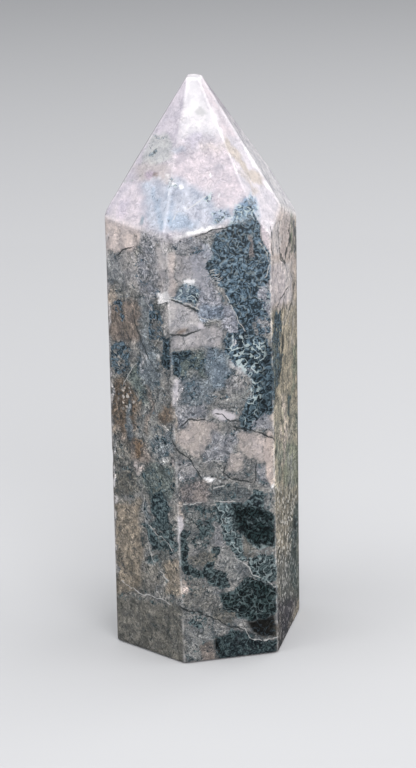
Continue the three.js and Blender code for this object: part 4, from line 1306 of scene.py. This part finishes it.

# The ground edges are made pale in places, partly as bruises and partly as a painted highlight along the
# rounded edges, least where the ground is busy and not where they were buffed clean, and a broken dark line
# follows some of the rims.
GLINT_AND_WEAR, GLINT_AND_WEAR_STEP, BUSY_GLINT_AND_WEAR, GLINT_AND_WEAR_START = (5.0, 5, 0.7), (0.38, 0.6), -0.25, 0.25
EDGE_STEP, EDGE_BRUISE_AND_GLINT = (0.3, 0.9), (0.2, 0.19, 0.19, 1)
RIM_STEP, RIM_PLACES_STEP, RIM_SHARE, RIM_COLOUR = (0.55, 0.8), (0.46, 0.56), 0.55, (0.04, 0.055, 0.06, 1)
glint_and_wear = maths("MULTIPLY_ADD", busy, BUSY_GLINT_AND_WEAR, maths("ADD", noise(millimetres, *GLINT_AND_WEAR), GLINT_AND_WEAR_START))
glint_and_wear = times(step(*GLINT_AND_WEAR_STEP, glint_and_wear), rest_of(layer("buffed_no_glint")))
glinted_and_bruised = over(times(step(*EDGE_STEP, layer("edge")), glint_and_wear), flecked, EDGE_BRUISE_AND_GLINT, "ADD")
rim_line = times(step(*RIM_STEP, layer("rim")), step(*RIM_PLACES_STEP, broken_up), RIM_SHARE)
glinted_and_bruised = over(rim_line, glinted_and_bruised, RIM_COLOUR)

# Pale healed threads and dark open cracks lie over all that. Each line has its width in millimetres, how
# much of it is broken away, a strength and a colour.
ASIDE, ASIDE_PLAY = (0.7, 5, 0.75), 0.7
THINNING, THINNING_SPAN, THINNING_START = (1.3, 3, 0.7), 2.4, -0.2
CORE, SOFT_EDGE = 0.35, 0.65
BROKEN, BROKEN_FADE = (1.6, 2, 0.6), 0.1
THREAD_WIDTH, THREAD_BROKEN, THREAD_SHARE, THREAD_COLOUR = 0.2, 0.4, 0.7, (0.55, 0.54, 0.53, 1)
CRACK_WIDTH, CRACK_BROKEN, CRACK_SHARE, CRACK_COLOUR = 0.28, 0.3, 0.92, (0.012, 0.018, 0.02, 1)
aside = maths("MULTIPLY_ADD", noise(millimetres, *ASIDE), ASIDE_PLAY, -ASIDE_PLAY / 2)


def line(name, width, broken):
    """A fine line along a layer's zero, as wide as given in millimetres, and gone where noise is low."""
    away = maths("ABSOLUTE", maths("ADD", layer(name + "_side"), aside))
    thinning = maths("MULTIPLY_ADD", noise(millimetres, *THINNING), THINNING_SPAN, THINNING_START)
    inked = rest_of(step(width * CORE, width * SOFT_EDGE, maths("DIVIDE", away, thinning)))
    present = step(broken, broken + BROKEN_FADE, noise(millimetres, *BROKEN))
    return times(inked, present, layer(name + "_near"))


threads = line("thread", THREAD_WIDTH, THREAD_BROKEN)
cracks = line("crack", CRACK_WIDTH, CRACK_BROKEN)
threaded = over(times(threads, THREAD_SHARE), glinted_and_bruised, THREAD_COLOUR)
cracked = over(times(cracks, CRACK_SHARE), threaded, CRACK_COLOUR)
tree.links.new(cracked, shader.inputs["Base Color"])

# The polish is high, a little lower over the moss and the grain and lost in the cracks. The face of the stone
# is very slightly wavy, and the cracks are shallow.
POLISH, MOSS_DULLING, GRAIN_DULLING, CRACK_ROUGHNESS = 0.15, 0.05, 0.04, 0.5
RIPPLE, RIPPLE_MM, CRACK_MM = (3.0, 2, 0.5), 0.02, -0.05
QUARTZ_IOR = 1.54
softer = maths("MULTIPLY_ADD", grain, GRAIN_DULLING, maths("MULTIPLY_ADD", tufts, MOSS_DULLING, POLISH))
rougher = maths("MAXIMUM", softer, times(cracks, CRACK_ROUGHNESS))
tree.links.new(rougher, shader.inputs["Roughness"])
sunken = maths("MULTIPLY_ADD", cracks, CRACK_MM, times(noise(millimetres, *RIPPLE), RIPPLE_MM))
face = add("ShaderNodeBump", {"Height": sunken, "Distance": MM, "Strength": 1.0})
tree.links.new(face, shader.inputs["Normal"])
shader.inputs["IOR"].default_value = QUARTZ_IOR
mesh.materials.append(agate)

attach(tower, "root")
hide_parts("tower")

# The floor is a wide matt sheet of pale paper that the stone stands on. A sheet is a flat square about the
# origin with a matt material of its own.
FLOOR_HALF, FLOOR_GREY, PAPER_SHINE = 3.0, (0.52, 0.52, 0.53, 1), 0.1
MATT = 0.9


def flat_sheet(name, half, height, finish, colour, shine):
    """A square from -half to half both ways at one height, in metres."""
    square = bpy.data.meshes.new(name)
    corners = [(x * half, y * half, height) for x, y in ((-1, -1), (1, -1), (1, 1), (-1, 1))]
    square.from_pydata(corners, [], [(0, 1, 2, 3)])
    matt = bpy.data.materials.new(finish)
    matt.use_nodes = True
    surface = matt.node_tree.nodes["Principled BSDF"].inputs
    surface["Base Color"].default_value = colour
    surface["Roughness"].default_value = MATT
    surface["Specular IOR Level"].default_value = shine
    square.materials.append(matt)
    sheet = bpy.data.objects.new(name, square)
    bpy.context.scene.collection.objects.link(sheet)
    return sheet


floor = flat_sheet("floor", FLOOR_HALF, 0, "pale_paper", FLOOR_GREY, PAPER_SHINE)

# A black cloth lies round the foot of the stone, for its sides to mirror in place of the pale floor. Only
# reflections see it.
CLOTH_HALF, CLOTH_RISE, CLOTH_BLACK, CLOTH_SHINE = 0.3, 0.0004, (0.02, 0.022, 0.02, 1), 0.5
black_cloth = flat_sheet("black_cloth", CLOTH_HALF, CLOTH_RISE, "black_cloth", CLOTH_BLACK, CLOTH_SHINE)
black_cloth.visible_camera = False
black_cloth.visible_diffuse = False
black_cloth.visible_shadow = False

# Soft light comes from a pale room and from large square panels: one overhead, one in front, one high on the
# left, and two on the right, of which one stands further back. Each lights the facets that turn to it, and
# they shine it back.
ROOM_TINT, ROOM_STRENGTH = (0.93, 0.96, 1, 1), 0.35
LIT_HEIGHT = 0.07
NEARLY_OVERHEAD = 80
PANELS = {
    "overhead": (0, 85, 1.0, 0.9, 9),
    "front": (12, 27, 0.9, 0.7, 4.5),
    "left_high": (-77, 40, 0.9, 0.5, 1.9),
    "right": (82, 20, 0.9, 0.5, 2.0),
    "back_right": (120, 26, 0.9, 0.5, 1.5),
}
world = bpy.data.worlds.new("room")
bpy.context.scene.world = world
world.use_nodes = True
world.node_tree.nodes["Background"].inputs["Color"].default_value = ROOM_TINT
world.node_tree.nodes["Background"].inputs["Strength"].default_value = ROOM_STRENGTH


def soft_panel(name, azimuth, elevation, distance, size, watts):
    """A square lamp, turned to face the middle of the stone from an azimuth (0 in front, 90 at the right)
    and an elevation in degrees, with its distance and size in metres."""
    turn, lift = math.radians(azimuth), math.radians(elevation)
    out = np.array([math.sin(turn) * math.cos(lift), -math.cos(turn) * math.cos(lift), math.sin(lift)])
    lamp = bpy.data.objects.new(name, bpy.data.lights.new(name, "AREA"))
    lamp.data.size = size
    lamp.data.energy = watts
    across = np.cross([0, 1.0, 0] if elevation > NEARLY_OVERHEAD else [0, 0, 1.0], out)
    across = across / np.linalg.norm(across)
    place = out * distance + np.array([0, 0, LIT_HEIGHT])
    axes = np.column_stack([across, np.cross(out, across), out])
    lamp.matrix_world = Matrix([[*row, at] for row, at in zip(axes, place)] + [[0, 0, 0, 1]])
    bpy.context.scene.collection.objects.link(lamp)


for name, settings in PANELS.items():
    soft_panel(name, *settings)
